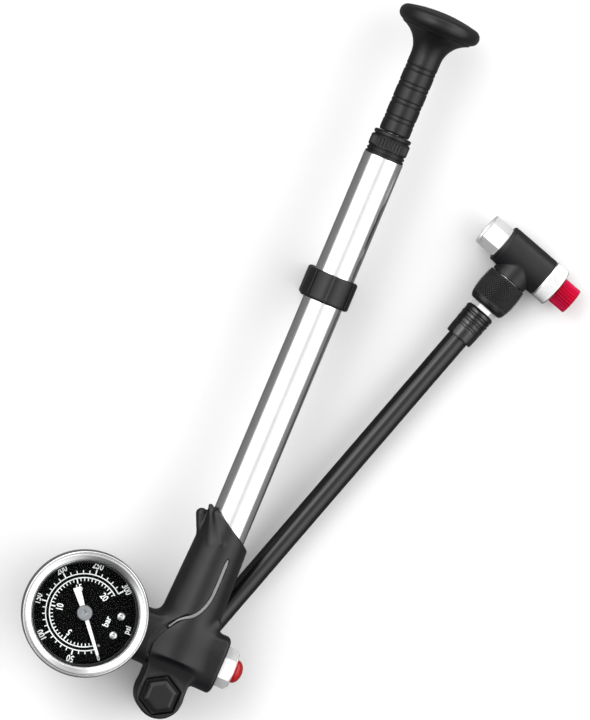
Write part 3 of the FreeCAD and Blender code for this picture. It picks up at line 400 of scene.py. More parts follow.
def turned(node, place, corners, shape=None, step=None, around=192, closed=False, name=None, smooth=40):
    """A piece turned about Z, a ring if closed; shape(angle, radius, height) may change its radius."""
    line = rounded(list(corners) + ([corners[0][:2]] if closed else []), step)
    if closed:
        line = line[:-1]
    angle = np.arange(around) * TAU / around
    radius = np.repeat(line[:, 0:1], around, 1)
    height = np.repeat(line[:, 1:2], around, 1)
    if shape:
        radius = np.where(radius > 1e-6, shape(angle[None, :], radius, height), 0)
    grid = np.stack([radius * np.cos(angle), radius * np.sin(angle), height], -1)
    count = len(line)
    points, first = [], []
    for row in range(count):
        pole = not closed and row in (0, count - 1) and line[row, 0] < 1e-6
        first.append((len(points), pole))
        points.extend([grid[row, 0].tolist()] if pole else grid[row].tolist())
    faces = []
    for row in range(count if closed else count - 1):
        (low, low_pole), (high, high_pole) = first[row], first[(row + 1) % count]
        for turn in range(around):
            after = (turn + 1) % around
            if low_pole:
                faces.append((low, high + after, high + turn))
            elif high_pole:
                faces.append((low + turn, low + after, high))
            else:
                faces.append((low + turn, low + after, high + after, high + turn))
    return add_piece(name or f"{node}_look", points, faces, node, place, smooth=smooth)


def hexagon(flats, low, high, chamfer=None, flat_up=True):
    """A hexagonal bar between two heights, its corners turned down to chamfer(height)."""

    def shape(angle, radius, height):
        sector = np.mod(angle + (0 if flat_up else TAU / 12), TAU / 6) - TAU / 12
        bar = flats / 2 / np.cos(TAU / 12 - np.abs(sector))
        wanted = np.minimum(bar, chamfer(height)) if chamfer else bar
        return np.where((height >= low) & (height <= high) & (radius > flats / 2 - 0.01), wanted, radius)

    return shape


def knurl(count, depth, low, high, outside, lean=0.0, fade=0.5):
    """Fine ribs between two heights; with a lean, two families of them cross as diamonds."""

    def shape(angle, radius, height):
        band = np.clip((height - low) / fade, 0, 1) * np.clip((high - height) / fade, 0, 1)
        ribs = 0.5 + 0.5 * np.cos(count * angle + lean * height)
        if lean:
            ribs = ribs * (0.5 + 0.5 * np.cos(count * angle - lean * height)) * 1.6
        return radius - np.where(radius > outside, depth * band * (1 - ribs), 0)

    return shape


# --- moulded forms


def join(first, second, soft=0.0):
    """Both forms together, with a soft fillet where they meet."""
    if not soft:
        return np.minimum(first, second)
    share = np.clip(0.5 + 0.5 * (second - first) / soft, 0, 1)
    return second * (1 - share) + first * share - soft * share * (1 - share)


def take_off(first, second, soft=0.0):
    """The first form with the second one cut out of it."""
    return -join(-first, second, soft)


def edge_round(first, second, radius):
    """Where two distances meet in an edge, rounded."""
    a, b = first + radius, second + radius
    return np.hypot(np.maximum(a, 0), np.maximum(b, 0)) + np.minimum(np.maximum(a, b), 0) - radius


def span(value, low, high):
    """The slab between two values."""
    return np.maximum(low - value, value - high)


def box_gap(x, y, z, wide, long, tall):
    """A square-cornered box between limits along X, Y and Z."""
    return np.maximum(np.maximum(span(x, *wide), span(y, *long)), span(z, *tall))


def ball_line(x, y, z, start, end, radius_start, radius_end):
    """A tapering round bar between two points."""
    way = np.subtract(end, start)
    share = ((x - start[0]) * way[0] + (y - start[1]) * way[1] + (z - start[2]) * way[2]) / (way @ way)
    share = np.clip(share, 0, 1)
    gap = np.sqrt((x - start[0] - share * way[0]) ** 2 + (y - start[1] - share * way[1]) ** 2
                  + (z - start[2] - share * way[2]) ** 2)
    return gap - (radius_start + (radius_end - radius_start) * share)


def smooth_line(points, count=60):
    """A quadratic B-spline led by a few points."""
    points = np.array(points, float)
    middles = (points[:-1] + points[1:]) / 2
    starts = np.vstack([points[:1], middles[1:]])
    ends = np.vstack([middles[1:], points[-1:]])[: len(points) - 2]
    line = []
    each = max(2, count // max(1, len(points) - 2))
    for start, control, end in zip(starts, points[1:-1], ends):
        for share in np.linspace(0, 1, each, endpoint=False):
            line.append((1 - share) ** 2 * start + 2 * share * (1 - share) * control + share**2 * end)
    return np.array(line + [points[-1]])


def line_gap(x, y, line):
    """Distance in plan from a run of points, and how far along it the nearest point is, from 0 to 1."""
    best = np.full(np.broadcast_shapes(np.shape(x), np.shape(y)), 1e9)
    along = np.zeros_like(best)
    for index, (start, end) in enumerate(zip(line[:-1], line[1:])):
        way = end - start
        share = np.clip(((x - start[0]) * way[0] + (y - start[1]) * way[1]) / (way @ way), 0, 1)
        gap = np.hypot(x - start[0] - share * way[0], y - start[1] - share * way[1])
        along = np.where(gap < best, (index + share) / (len(line) - 1), along)
        best = np.minimum(best, gap)
    return best, along


def moulded(node, field, low, high, cell, place=PIVOT, smooth=55):
    """A piece bounded by a distance field's zero: a surface net, drawn onto the zero."""
    axes = [np.arange(a, b + cell, cell) for a, b in zip(low, high)]
    value = np.broadcast_to(
        field(axes[0][:, None, None], axes[1][None, :, None], axes[2][None, None, :]),
        [len(axis) for axis in axes],
    ).astype(float)
    inside = value < 0
    shape = np.array(value.shape) - 1
    total = np.zeros((*shape, 3))
    hits = np.zeros(shape)
    offsets = [(i, j, k) for i in (0, 1) for j in (0, 1) for k in (0, 1)]

    def corner(array, offset):
        return array[tuple(slice(o, o + n) for o, n in zip(offset, shape))]

    for first in offsets:
        for axis in range(3):
            if first[axis]:
                continue
            second = tuple(o + (a == axis) for a, o in enumerate(first))
            a, b = corner(value, first), corner(value, second)
            crossed = corner(inside, first) != corner(inside, second)
            share = np.where(crossed, a / np.where(crossed, a - b, 1), 0)
            hits += crossed
            for other in range(3):
                total[..., other] += np.where(crossed, first[other] + (share if other == axis else 0), 0)
    used = hits > 0
    number = np.full(shape, -1)
    number[used] = np.arange(used.sum())
    cells = np.argwhere(used)
    points = (cells + total[used] / hits[used][:, None]) * cell + np.array([axis[0] for axis in axes])
    faces = []
    for axis in range(3):
        others = [a for a in range(3) if a != axis]
        start = inside[tuple(slice(0, n) if a == axis else slice(1, n) for a, n in enumerate(shape))]
        end = inside[tuple(slice(1, n + 1) if a == axis else slice(1, n) for a, n in enumerate(shape))]
        spots = np.argwhere(start != end)
        flips = start[tuple(spots.T)]
        for a in others:
            spots[:, a] += 1
        quad = []
        for da, db in ((1, 1), (0, 1), (0, 0), (1, 0)):
            index = spots.copy()
            index[:, others[0]] -= da
            index[:, others[1]] -= db
            quad.append(number[tuple(index.T)])
        quad = np.stack(quad, 1)
        turn = flips if axis != 1 else ~flips
        faces.append(np.where(turn[:, None], quad, quad[:, ::-1]))
    faces = np.concatenate(faces)
    nudge = 0.25 * cell
    for _ in range(3):
        x, y, z = points.T
        here = field(x, y, z)
        slope = np.stack([field(x + nudge, y, z) - field(x - nudge, y, z),
                          field(x, y + nudge, z) - field(x, y - nudge, z),
                          field(x, y, z + nudge) - field(x, y, z - nudge)], 1) / (2 * nudge)
        steep = np.maximum((slope**2).sum(1), 0.3)
        move = slope * (here / steep)[:, None]
        reach = np.linalg.norm(move, axis=1, keepdims=True)
        points = points - move * np.minimum(1, 0.35 * cell / np.maximum(reach, 1e-9))
    return add_piece(f"{node}_look", points, faces.tolist(), node, place, smooth=smooth)


# --- barrel, end cap and handle


def make_barrel():
    low, high = limits("barrel_tube", 0)
    bore, outside = 5.5, 6.5
    turned("barrel_tube", BARREL, [
        (bore, low, 0.2), (outside, low, 0.2), (outside, high, 0.25), (bore, high, 0.2),
    ], closed=True, step=12)


def make_end_cap():
    """Skirt over the tube, two rings, a ribbed grip ring and a flange."""
    low, top = limits("end_cap", 0)
    skirt = top - 8.0
    ribs = knurl(34, 0.42, skirt + 2.9, skirt + 6.0, 5.9, fade=0.35)

    def uneven_ribs(angle, radius, height):
        return np.where((height > skirt + 2.7) & (height < skirt + 6.2), ribs(angle, radius, height), radius)

    turned("end_cap", BARREL, [
        (5.3, low), (5.45, low), (5.45, skirt + 0.03), (6.38, skirt + 0.05, 0.15), (6.42, skirt + 0.55, 0.2),
        (6.0, skirt + 0.8, 0.1), (6.0, skirt + 1.1, 0.1), (6.3, skirt + 1.25, 0.12),
        (6.3, skirt + 1.75, 0.12), (5.95, skirt + 1.95, 0.1), (5.95, skirt + 2.3, 0.1),
        (6.28, skirt + 2.5, 0.15), (6.4, skirt + 3.0, 0.2), (6.4, skirt + 5.9, 0.2), (6.1, skirt + 6.2, 0.1),
        (5.7, skirt + 6.35, 0.1), (5.7, skirt + 6.55, 0.1), (6.15, skirt + 6.75, 0.25),
        (6.15, skirt + 7.7, 0.3), (5.4, top, 0.2), (3.3, top), (3.3, low),
    ], shape=uneven_ribs, step=0.25, around=306, closed=True)


def make_grip():
    """The mushroom handle: a shaft with four double rings, a flare, a soft rim and a low crown."""
    foot, top = limits("handle_grip", 0)
    foot -= 0.22
    shaft_radius, first_ring, ring_pitch = 5.0, 195.2, 5.6
    corners = [(3.1, foot), (4.75, foot, 0.3), (shaft_radius, foot + 0.6, 0.4)]
    for ring in range(4):
        centre = first_ring + ring_pitch * ring
        corners += [(5.02, centre - 1.05, 0.2), (4.74, centre - 0.72, 0.12), (4.96, centre - 0.35, 0.2),
                    (4.96, centre + 0.35, 0.2), (4.74, centre + 0.72, 0.12), (5.02, centre + 1.05, 0.2)]
    shaft = rounded(corners)
    flare_start, flare, flare_turn = 216.2, 8.7, math.radians(72)
    bend = [np.array([shaft_radius + flare * (1 - math.cos(turn)), flare_start + flare * math.sin(turn)])
            for turn in np.linspace(0, flare_turn, 22)]
    knob_radius, rim_radius, dome = 13.39, 2.6, 48.0
    rim_centre = knob_radius - rim_radius
    lean = math.asin(rim_centre / (dome - rim_radius))
    rim_height = top - dome + (dome - rim_radius) * math.cos(lean)
    rim = [np.array([rim_centre + rim_radius * math.cos(turn), rim_height + rim_radius * math.sin(turn)])
           for turn in np.linspace(-flare_turn, TAU / 4 - lean, 28)]
    crown = [np.array([dome * math.sin(turn), top - dome + dome * math.cos(turn)])
             for turn in np.linspace(lean, 0, 20)[1:]]
    outline = [tuple(point) for point in (*shaft, *bend, *rim, *crown)]
    turned("handle_grip", BARREL, outline, step=0.8, smooth=60)


# --- base

SLEEVE_LEAN = np.array([0.861, -0.507])  # the way that the sleeve's slanting mouth faces
BLOCK_X, BLOCK_SQUARENESS = 15.5, 3.6
BOSS_RADIUS, BOSS_LOW, BOSS_HIGH = 7.46, 11.7, 27.0
STRIPE = smooth_line([(47.2, -3.1), (40, -3.15), (33.0, -3.0), (27.4, -0.4), (24.8, 4.0), (21.4, 6.0)])
STRIPE_SHARES, STRIPE_HALF_WIDTHS = (0, 0.03, 0.65, 1), (0.3, 0.5, 0.48, 0.22)
CREASE = smooth_line([(26.6, 1.9), (23.2, 5.2), (19.3, 7.7), (15.2, 9.2), (12.2, 8.9), (8.4, 8.0)])
CREASE_SHARES, CREASE_WIDTHS = (0, 0.3, 0.6, 0.72, 1), (0.45, 0.75, 0.8, 0.5, 0.38)
CREASE_DEPTH = 0.5
INLAY_DEPTH, INLAY_GAP = 0.45, 0.12
FACE_LOW, FACE_HIGH = 12.6, 29.55
gauge_x, gauge_y = (value / MM for value in gauge_centre[:2])
level = barrel_height / MM


def hexagon_gap(x, y, flats):
    """A hexagonal bar along Z."""
    gaps = [np.abs(x * math.cos(a) + y * math.sin(a)) for a in (TAU / 12, TAU / 4, 5 * TAU / 12)]
    return np.maximum(np.maximum(gaps[0], gaps[1]), gaps[2]) - flats / 2


def cover_form(x, y, z):
    """The cover's outside: sleeve with a folded lip, cross block from gauge to bleed valve, and boss."""
    up = z - level
    sleeve = np.hypot(y - 0.1, up) - (9.35 - 0.04 * (x - 28))
    slant = SLEEVE_LEAN[0] * x + SLEEVE_LEAN[1] * y - 49.3 + 0.006 * (y + 1.5) ** 2
    sleeve = edge_round(sleeve, np.maximum(slant, 12 - x), 0.5)
    folds = join(ball_line(x, y, z, (57.5, 9.5, 21.4), (49.0, 6.6, 22.6), 1.85, 1.0),
                 ball_line(x, y, z, (60.9, 8.1, 24.0), (50.0, 3.4, 27.0), 0.7, 1.5), 1.0)
    folds = join(folds, ball_line(x, y, z, (59.6, 6.1, 26.2), (51.5, 0.6, 28.4), 0.45, 1.0), 0.5)
    sleeve = join(sleeve, folds, 0.9)
    half_width, half_height = 9.05 - 0.035 * y, (FACE_HIGH - FACE_LOW) / 2
    sheared = z - (FACE_LOW + FACE_HIGH) / 2 + 0.13 * np.maximum(20 - x, -4)
    block = ((np.abs(x - BLOCK_X) / half_width) ** BLOCK_SQUARENESS
             + (np.abs(sheared) / half_height) ** BLOCK_SQUARENESS) ** (1 / BLOCK_SQUARENESS)
    block = edge_round((block - 1) * half_height, span(y, -14.4, 19), 1.3)
    form = join(sleeve, block, 3.0)
    form = join(form, ball_line(x, y, z, (27.0, -8.0, 25.0), (19.0, -1.8, 28.0), 1.7, 1.5), 1.6)
    boss_height = span(z, BOSS_LOW, BOSS_HIGH)
    boss = edge_round(np.hypot(x, y) - BOSS_RADIUS, boss_height, 0.8)
    bridge = edge_round(edge_round(span(x, 0, 10), span(y, -7.3, 7.3), 0.5), boss_height, 0.8)
    return join(form, join(boss, bridge, 0.5), 1.9)


def cover_hollow(x, y, z):
    """The space inside the cover for the metal manifold, the barrel, the stems and the gauge."""
    up = z - level
    core = edge_round(np.hypot(y, up) - 7.4, span(x, 23.5, 50), 0.1)
    core = join(core, box_gap(x, y, z, (7.2, 24), (-11.2, 10.2), (14.6, 27.4)))
    core = np.maximum(core, cover_form(x, y, z) + 0.6)
    core = join(core, np.maximum(np.hypot(x, y) - 5.6, span(z, 5, 25.0)))
    core = join(core, np.maximum(np.hypot(y, up) - 6.62, 30 - x))
    core = join(core, np.maximum(np.hypot(x - gauge_x, up) - 4.05, span(y, 0, 30)))
    core = join(core, np.maximum(np.hypot(x - bleed_foot.x / MM, up) - 4.05, span(y, -20, 0)))
    case = np.hypot(x - gauge_x, y - gauge_y)
    core = join(core, case - 18.5 + 0 * z)
    core = join(core, np.maximum(case - 20.15, 28.6 - z))
    return join(core, np.maximum(hexagon_gap(x, y, 11.5) - 0.35 * np.maximum(z - 26.5, 0), 25.6 - z))


def make_cover():
    """The soft cover, with a slot for the stripe and a pressed crease below it."""

    def field(x, y, z):
        form = cover_form(x, y, z)
        gap, along = line_gap(x, y, STRIPE)
        half_slot = np.interp(along, STRIPE_SHARES, STRIPE_HALF_WIDTHS) + INLAY_GAP
        slot = np.maximum(np.maximum(gap - half_slot, -(form + INLAY_DEPTH)), level - z)
        crease_gap, crease_along = line_gap(x, y, CREASE)
        width = np.interp(crease_along, CREASE_SHARES, CREASE_WIDTHS)
        form = take_off(form, slot, 0.12)
        form = form + np.where(z > level + 3, CREASE_DEPTH * np.clip(1.3 - crease_gap / width, 0, 1), 0)
        return take_off(form, cover_hollow(x, y, z), 0.15)

    moulded("base_cover", field, (-8.2, -15.2, 11.0), (63.2, 17.4, 31.2), 0.28)


def make_stripe():
    """The stripe let into the cover's slot."""

    def field(x, y, z):
        form = cover_form(x, y, z)
        gap, along = line_gap(x, y, STRIPE)
        half_width = np.interp(along, STRIPE_SHARES, STRIPE_HALF_WIDTHS)
        strip = edge_round(gap - half_width, form + 0.02, 0.12)
        return np.maximum(np.maximum(strip, -(form + INLAY_DEPTH - 0.03)), level - z)

    moulded("inlay_stripe", field, (20.0, -4.6, 22.0), (48.4, 7.4, 31.2), 0.14)


def make_manifold():
    """The metal block inside the cover, kept clear of the cover's rounded corners."""

    def field(x, y, z):
        up = z - level
        socket = np.maximum(np.hypot(y, up) - 7.37, span(x, 23.5, 49.9))
        body = join(socket, box_gap(x, y, z, (7.25, 23.95), (-11.15, 10.15), (14.65, 27.35)))
        body = np.maximum(body, cover_form(x, y, z) + 0.7)
        body = join(body, np.maximum(np.hypot(x, y) - 5.55, span(z, 11.75, 24.2)))
        holes = join(np.maximum(np.hypot(y, up) - 6.55, 28.5 - x), np.hypot(x, y) - 3.25)
        for way in (1, -1):
            holes = join(holes, np.maximum(np.hypot(x - gauge_x, up) - 4.05, 2.9 - way * y))
        return take_off(body, holes)

    moulded("manifold", field, (-6.2, -11.8, 11.0), (50.6, 10.8, 29.0), 0.45, smooth=40)


def make_bolt():
    """Hexagon head with wide chamfers, in the boss's recess, and the nut on the bolt's lower end."""
    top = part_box("pivot_bolt")[1].z / MM

    def field(x, y, z):
        radius = np.hypot(x, y)
        thread = radius - 2.38 - np.maximum(z - 2.3, 0) * 4
        shank = np.maximum(np.maximum(radius - 3.2, thread), span(z, 0, top - 3))
        head = edge_round(hexagon_gap(x, y, 9.7), span(z, top - 3.85, top), 0.15)
        slope = (hexagon_gap(x, y, 7.4) + 1.15 * (z - top)) / 1.52
        return join(shank, edge_round(head, slope, 0.35), 0.2)

    moulded("pivot_bolt", field, (-6.0, -5.4, -0.5), (6.0, 5.4, top + 0.5), 0.2, smooth=50)

    def cone(height):
        return 6.35 - 0.45 * np.clip(0.45 - height, 0, 1)

    nut_top = 2.4
    turned("pivot_nut", PIVOT, [
        (2.45, 0.0, 0.1), (6.3, 0.0, 0.1), (6.3, nut_top, 0.1), (2.45, nut_top, 0.1),
    ], shape=hexagon(11.0, -0.01, nut_top + 0.01, cone, flat_up=False), step=0.2, around=240, closed=True,
        smooth=28)


def make_bleed_valve():
    """Hexagonal body with a turned-down front, and a domed button in it."""
    seat, tip = 14.3, 18.8

    def cone(height):
        return 6.6 - 1.9 * np.maximum(height - (tip - 0.8), 0)

    turned("bleed_body", BLEED, [
        (3.95, 7.0, 0.1), (3.95, seat - 0.02), (6.7, seat - 0.02, 0.1), (6.7, tip - 0.05, 0.1),
        (4.15, tip, 0.25), (3.95, 14.5), (1.25, 14.5), (1.25, 7.0),
    ], shape=hexagon(11.4, seat - 0.05, tip - 0.03, cone), step=0.22, around=240, closed=True, smooth=28)
    wide, base, rise = 3.75, 19.3, 2.5
    dome = [(wide * math.cos(turn), base + rise * math.sin(turn)) for turn in np.linspace(0.0, TAU / 4, 18)]
    turned("bleed_button", BLEED, [
        (0.97, 17.2), (3.6, 17.2, 0.1), (wide, 17.35), *dome[:-1], (0, base + rise),
    ], step=0.5, smooth=50)


# --- gauge


def make_gauge_case():
    """Drawn case, and the bezel over it: fine-ribbed side, a groove inside its rim and a sloping band."""
    back, top = limits("gauge_case", 2)
    inside, bore, outside = back + 1.4, 17.4, 18.4
    turned("gauge_case", GAUGE, [
        (0, back), (12.0, back, 0.3), (12.3, back + 0.35, 0.3), (bore, back + 0.35, 0.9),
        (outside, inside, 0.9), (outside, top), (bore, top), (bore, inside), (0, inside),
    ], step=1.2, around=256, smooth=50)
    low, high = limits("gauge_bezel", 2)
    rim = knurl(180, 0.11, low + 0.7, high - 1.3, 19.7, fade=0.25)
    bezel = turned("gauge_bezel", GAUGE, [
        (18.46, low), (19.7, low, 0.2), (20.0, low + 0.5, 0.2), (20.0, high - 1.1, 0.3),
        (19.75, high - 0.45, 0.3), (19.45, high - 0.2, 0.1), (19.3, high - 0.75, 0.05),
        (19.1, high - 0.75, 0.05), (18.95, high - 0.12, 0.15), (18.5, high - 0.02, 0.4),
        (17.2, high - 0.55, 0.8), (16.7, high - 1.2, 0.15), (16.7, high - 1.85), (18.46, high - 1.85),
    ], shape=rim, step=0.3, around=900, closed=True, smooth=50)
    bezel.data.materials[0] = finishes["bezel_chrome"]


def extruded(outlines, low, high):
    """Thin plates over closed outlines, as points and faces."""
    points, faces = [], []
    for outline in outlines:
        count, base = len(outline), len(points)
        points += [(x, y, low) for x, y in outline] + [(x, y, high) for x, y in outline]
        faces.append(tuple(base + count + i for i in range(count)))
        faces.append(tuple(base + i for i in reversed(range(count))))
        faces += [(base + i, base + (i + 1) % count, base + count + (i + 1) % count, base + count + i)
                  for i in range(count)]
    return points, faces


def polar(radius, degrees):
    return radius * math.cos(math.radians(degrees)), radius * math.sin(math.radians(degrees))


DIAL_ZERO, DIAL_FULL = -140.3, -399.2  # degrees at the ends of the scales
PSI_START, PSI_TURN = -129.2, -0.9  # degrees at zero psi and for each psi
PSI_PER_BAR = 14.504
PRINT = 0.05
PSI_RING, BAR_RING = 12.1, 10.9  # where the ticks start: psi outwards, bar inwards


def ring_band(inner, outer, start, end, low, high):
    """A printed arc, as a closed band."""
    steps = np.linspace(start, end, 180)
    count = len(steps)
    points = [(*polar(radius, step), height) for height in (low, high) for radius in (inner, outer)
              for step in steps]
    faces = []
    for a in range(count - 1):
        b = a + 1
        faces += [(a, b, count + b, count + a), (2 * count + a, 3 * count + a, 3 * count + b, 2 * count + b),
                  (a, 2 * count + a, 2 * count + b, b), (count + a, count + b, 3 * count + b, 3 * count + a)]
    first, last = ((at, count + at, 3 * count + at, 2 * count + at) for at in (0, count - 1))
    return points, faces + [first, last[::-1]]


def tick(inner, outer, degrees, width):
    """A tick's outline across the arc."""
    along = np.array(polar(1, degrees))
    across = np.array([-along[1], along[0]])
    return [tuple(along * r + across * w) for r, w in
            ((inner, -width / 2), (outer, -width / 2), (outer, width / 2), (inner, width / 2))]


LABEL_WEIGHT = 0.018  # how much bolder the strokes are, as a share of the size


def printed(text, size, spot, degrees, low, high, wide=0.72):
    """A short label's mesh: its points in millimetres, and its faces."""
    curve = bpy.data.curves.new("label", "FONT")
    curve.body, curve.size = text, size
    curve.align_x = curve.align_y = "CENTER"
    curve.extrude = (high - low) / 2
    curve.resolution_u = 4
    curve.offset = LABEL_WEIGHT * size
    label = bpy.data.objects.new("label", curve)
    show(label)
    bpy.context.view_layer.update()
    mesh = bpy.data.meshes.new_from_object(label)
    turn = Matrix.Rotation(math.radians(degrees), 4, "Z") @ Matrix.Diagonal((wide, 1, 1, 1))
    mesh.transform(Matrix.Translation((*spot, (low + high) / 2)) @ turn)
    points = [tuple(vertex.co) for vertex in mesh.vertices]
    faces = [tuple(polygon.vertices) for polygon in mesh.polygons]
    bpy.data.objects.remove(label)
    bpy.data.meshes.remove(mesh)
    return points, faces


def make_dial():
    """The dial plate and its print: two scales with their ticks and numbers."""
    low, high = limits("gauge_dial", 2)
    plate = [(0.9, low), (17.3, low), (17.3, high, 0.1), (0.9, high)]
    turned("gauge_dial", GAUGE, plate, closed=True, step=1.0)
    base, top = high + 0.01, high + 0.01 + PRINT
    parts = [ring_band(11.95, 12.29, DIAL_ZERO, DIAL_FULL, base, top),
             ring_band(10.73, 11.07, DIAL_ZERO, DIAL_FULL, base, top)]
    marks = [tick(PSI_RING, 13.9, DIAL_ZERO, 0.34), tick(9.5, BAR_RING, DIAL_ZERO, 0.34)]
    for psi in range(20, 301, 10):
        outer, width = (13.9, 0.44) if psi % 50 == 0 else (13.2, 0.32)
        marks.append(tick(PSI_RING, outer, PSI_START + PSI_TURN * psi, width))
    for half_bar in range(2, 42):
        inner, width = (9.25, 0.40) if half_bar % 10 == 0 else (9.85, 0.29)
        marks.append(tick(inner, BAR_RING, PSI_START + PSI_TURN * PSI_PER_BAR * half_bar / 2, width))
    parts.append(extruded(marks, base, top))
    for step, last, psi_each, radius in ((50, 300, 1, 15.05), (5, 20, PSI_PER_BAR, 7.75)):
        for number in range(step, last + 1, step):
            angle = PSI_START + PSI_TURN * psi_each * number
            parts.append(printed(str(number), 3.0, polar(radius, angle), angle - 90, base, top, 0.78))
    parts.append(printed("0", 2.3, polar(14.95, DIAL_ZERO), DIAL_ZERO - 90, base, top))
    parts.append(printed("0", 2.5, polar(7.9, DIAL_ZERO), DIAL_ZERO - 90, base, top))
    parts.append(printed("bar", 2.8, (0, -7.75), 0, base, top, 0.9))
    parts.append(printed("psi", 2.6, (0, -14.7), 0, base, top, 0.9))
    points, faces = [], []
    for some_points, some_faces in parts:
        faces += [tuple(len(points) + index for index in face) for face in some_faces]
        points += some_points
    add_piece("dial_print", points, faces, "gauge_dial", GAUGE, "needle_white", replaces=False, smooth=20)


def make_dial_furniture():
    """Screws, needle and hub."""
    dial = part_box("gauge_dial")[1].z / MM
    screw_circle = 11.7
    for side, degrees in (("left", -106), ("right", -74)):
        spot = GAUGE @ Matrix.Translation(Vector((*polar(screw_circle, degrees), 0)) * MM)
        turned("dial_screws", spot, [
            (0.68, dial - 0.5), (0.68, dial + 0.02), (1.45, dial + 0.02, 0.1), (1.42, dial + 0.35, 0.3),
            (1.0, dial + 0.72, 0.3), (0.55, dial + 0.82, 0.08), (0.3, dial + 0.5, 0.1), (0, dial + 0.45),
        ], around=64, name=f"dial_screw_{side}", smooth=60)
    low, high = limits("gauge_needle", 2)
    turn = GAUGE @ Matrix.Rotation(math.radians(DIAL_ZERO), 4, "Z")
    edge = [(-8.3, 1.22), (-1.5, 0.72), (1.5, 0.66), (13.9, 0.44)]
    outline = [(-8.3, -1.22), *edge, (14.3, 0.0), *[(x, -y) for x, y in edge[:0:-1]]]
    points, faces = extruded([outline[::-1]], low, high)
    blade = add_piece("gauge_needle_look", points, faces, "gauge_needle", turn, smooth=30)
    bevel = blade.modifiers.new("edge", "BEVEL")
    bevel.width, bevel.segments, bevel.limit_method = 0.07 * MM, 2, "ANGLE"
    foot, top = limits("needle_hub", 2)
    turned("needle_hub", GAUGE, [
        (0, foot), (2.44, foot, 0.08), (2.44, top - 0.3, 0.1), (2.2, top, 0.15), (0.85, top, 0.1),
        (0.6, top - 0.12, 0.1), (0.3, top - 0.15, 0.05), (0.22, top - 0.4), (0, top - 0.45),
    ], around=96, smooth=50)


# --- hose, fittings and head


HOSE_START, HOSE_END, HOSE_RADIUS = 12.1, 155.4, 3.5


def hose_point(reach):
    """A point on the hose's axis, at a distance from the pivot."""
    return Vector((0, 0, hose_height)) + hose_way * reach * MM


def make_hose():
    """The hose as a smooth line at its real length, straight between its ferrules."""
    route = [HOSE_START, 48.0, 84.0, 120.0, HOSE_END]
    curve = bpy.data.curves.new("hose_cord", "CURVE")
    curve.dimensions = "3D"
    curve.bevel_depth = HOSE_RADIUS * MM
    curve.bevel_resolution = 24
    curve.use_fill_caps = True
    spline = curve.splines.new("NURBS")
    spline.points.add(len(route) - 1)
    for point, reach in zip(spline.points, route):
        point.co = (*hose_point(reach), 1)
    spline.order_u = 3
    spline.use_endpoint_u = True
    spline.resolution_u = 12
    hose = bpy.data.objects.new("hose_cord", curve)
    show(hose)
    curve.materials.append(finishes["hose_rubber"])
    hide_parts("hose")
    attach(hose, body_of["hose"])
    return hose


def ferrule(node, mouth, closed_end):
    """A crimped ferrule, slightly tapered, with three pairs of pressed rings and a rounded closed end."""
    way = 1 if closed_end > mouth else -1

    def at(distance):
        return closed_end - way * distance

    corners = [(1.56, at(0)), (4.35, at(0), 0.5), (4.95, at(0.75), 0.5)]
    groove = 4.62
    for ring in (2.2, 4.4, 6.8):
        for line in (ring - 0.42, ring + 0.42):
            lip = 4.98 - 0.03 * line
            corners += [(lip, at(line - 0.24), 0.08), (groove, at(line - 0.05), 0.12),
                        (groove, at(line + 0.05), 0.12), (lip, at(line + 0.24), 0.08)]
    corners += [(groove, at(10.75), 0.15), (4.45, at(11.3), 0.2), (3.55, at(11.3)), (3.55, at(1.8)),
                (1.56, at(1.8))]
    turned(node, HOSE, corners if way < 0 else corners[::-1], around=128, closed=True, step=0.6)


FERRULE_CAP = 1.9


def make_fittings():
    """Both ferrules, the nipple with its hexagon, and the swivel nut: a barrel with a diamond knurl."""
    ferrule("lower_ferrule", 21.5, HOSE_START - FERRULE_CAP)
    ferrule("upper_ferrule", 146.0, HOSE_END + FERRULE_CAP)

    def cone(height):
        return 4.6 - 0.5 * np.maximum(height - 158.5, 0)

    turned("hose_nipple", HOSE, [
        (0.8, 157.42), (4.7, 157.42, 0.1), (4.7, 158.83, 0.1), (2.62, 158.85), (2.62, 163.7), (4.3, 163.7),
        (4.3, 166.9), (0.8, 166.9),
    ], shape=hexagon(7.8, 157.4, 158.84, cone), step=0.2, around=240, closed=True, smooth=28)
    diamonds = knurl(46, 0.36, 160.9, 169.9, 5.7, lean=6.0, fade=0.8)
    widest, waist = 6.8, 164.8
    belly = [(widest - 0.0125 * (height - waist) ** 2 - 0.016 * max(waist - height, 0) ** 2, height)
             for height in np.linspace(159.9, 169.75, 18)]
    turned("swivel_nut", HOSE, [
        (2.72, 159.3), (4.5, 158.95, 0.2), (5.5, 159.1, 0.5), *belly, (6.55, 170.0, 0.2), (6.1, 170.1),
        (4.7, 170.1), (4.7, 163.5), (2.72, 163.5),
    ], shape=diamonds, step=0.14, around=644, closed=True, smooth=60)


def head_form(x, y, z):
    """Cross body along Z and neck along -Y, in the chuck's frame, softly joined."""
    cross = edge_round(np.hypot(x, y) - 6.55, z - 9.0, 0.7)
    cross = edge_round(cross, -8.18 - z, 0.4)
    neck = edge_round(np.hypot(x, z) - 6.15, span(y, -7.85, 0), 0.25)
    return join(cross, neck, 0.25)


def make_head():
    """The head's cover over its metal core, with a parting line near the chuck."""

    def field(x, y, z):
        form = head_form(x, y, z)
        ends = edge_round(np.hypot(x, y) - 4.9, span(z, -20, 20), 0.1)
        stub = np.maximum(np.hypot(x, z) - 4.6, y)
        cross = np.maximum(np.hypot(x, y) - 5.85, span(z, -8.0, 8.7))
        line = np.hypot(np.maximum(-form, 0), z - 8.05) - 0.16
        return take_off(take_off(form, join(join(ends, stub), cross), 0.1), line, 0.1)

    moulded("head_cover", field, (-7.1, -8.4, -8.8), (7.1, 7.1, 9.5), 0.22, HEAD)


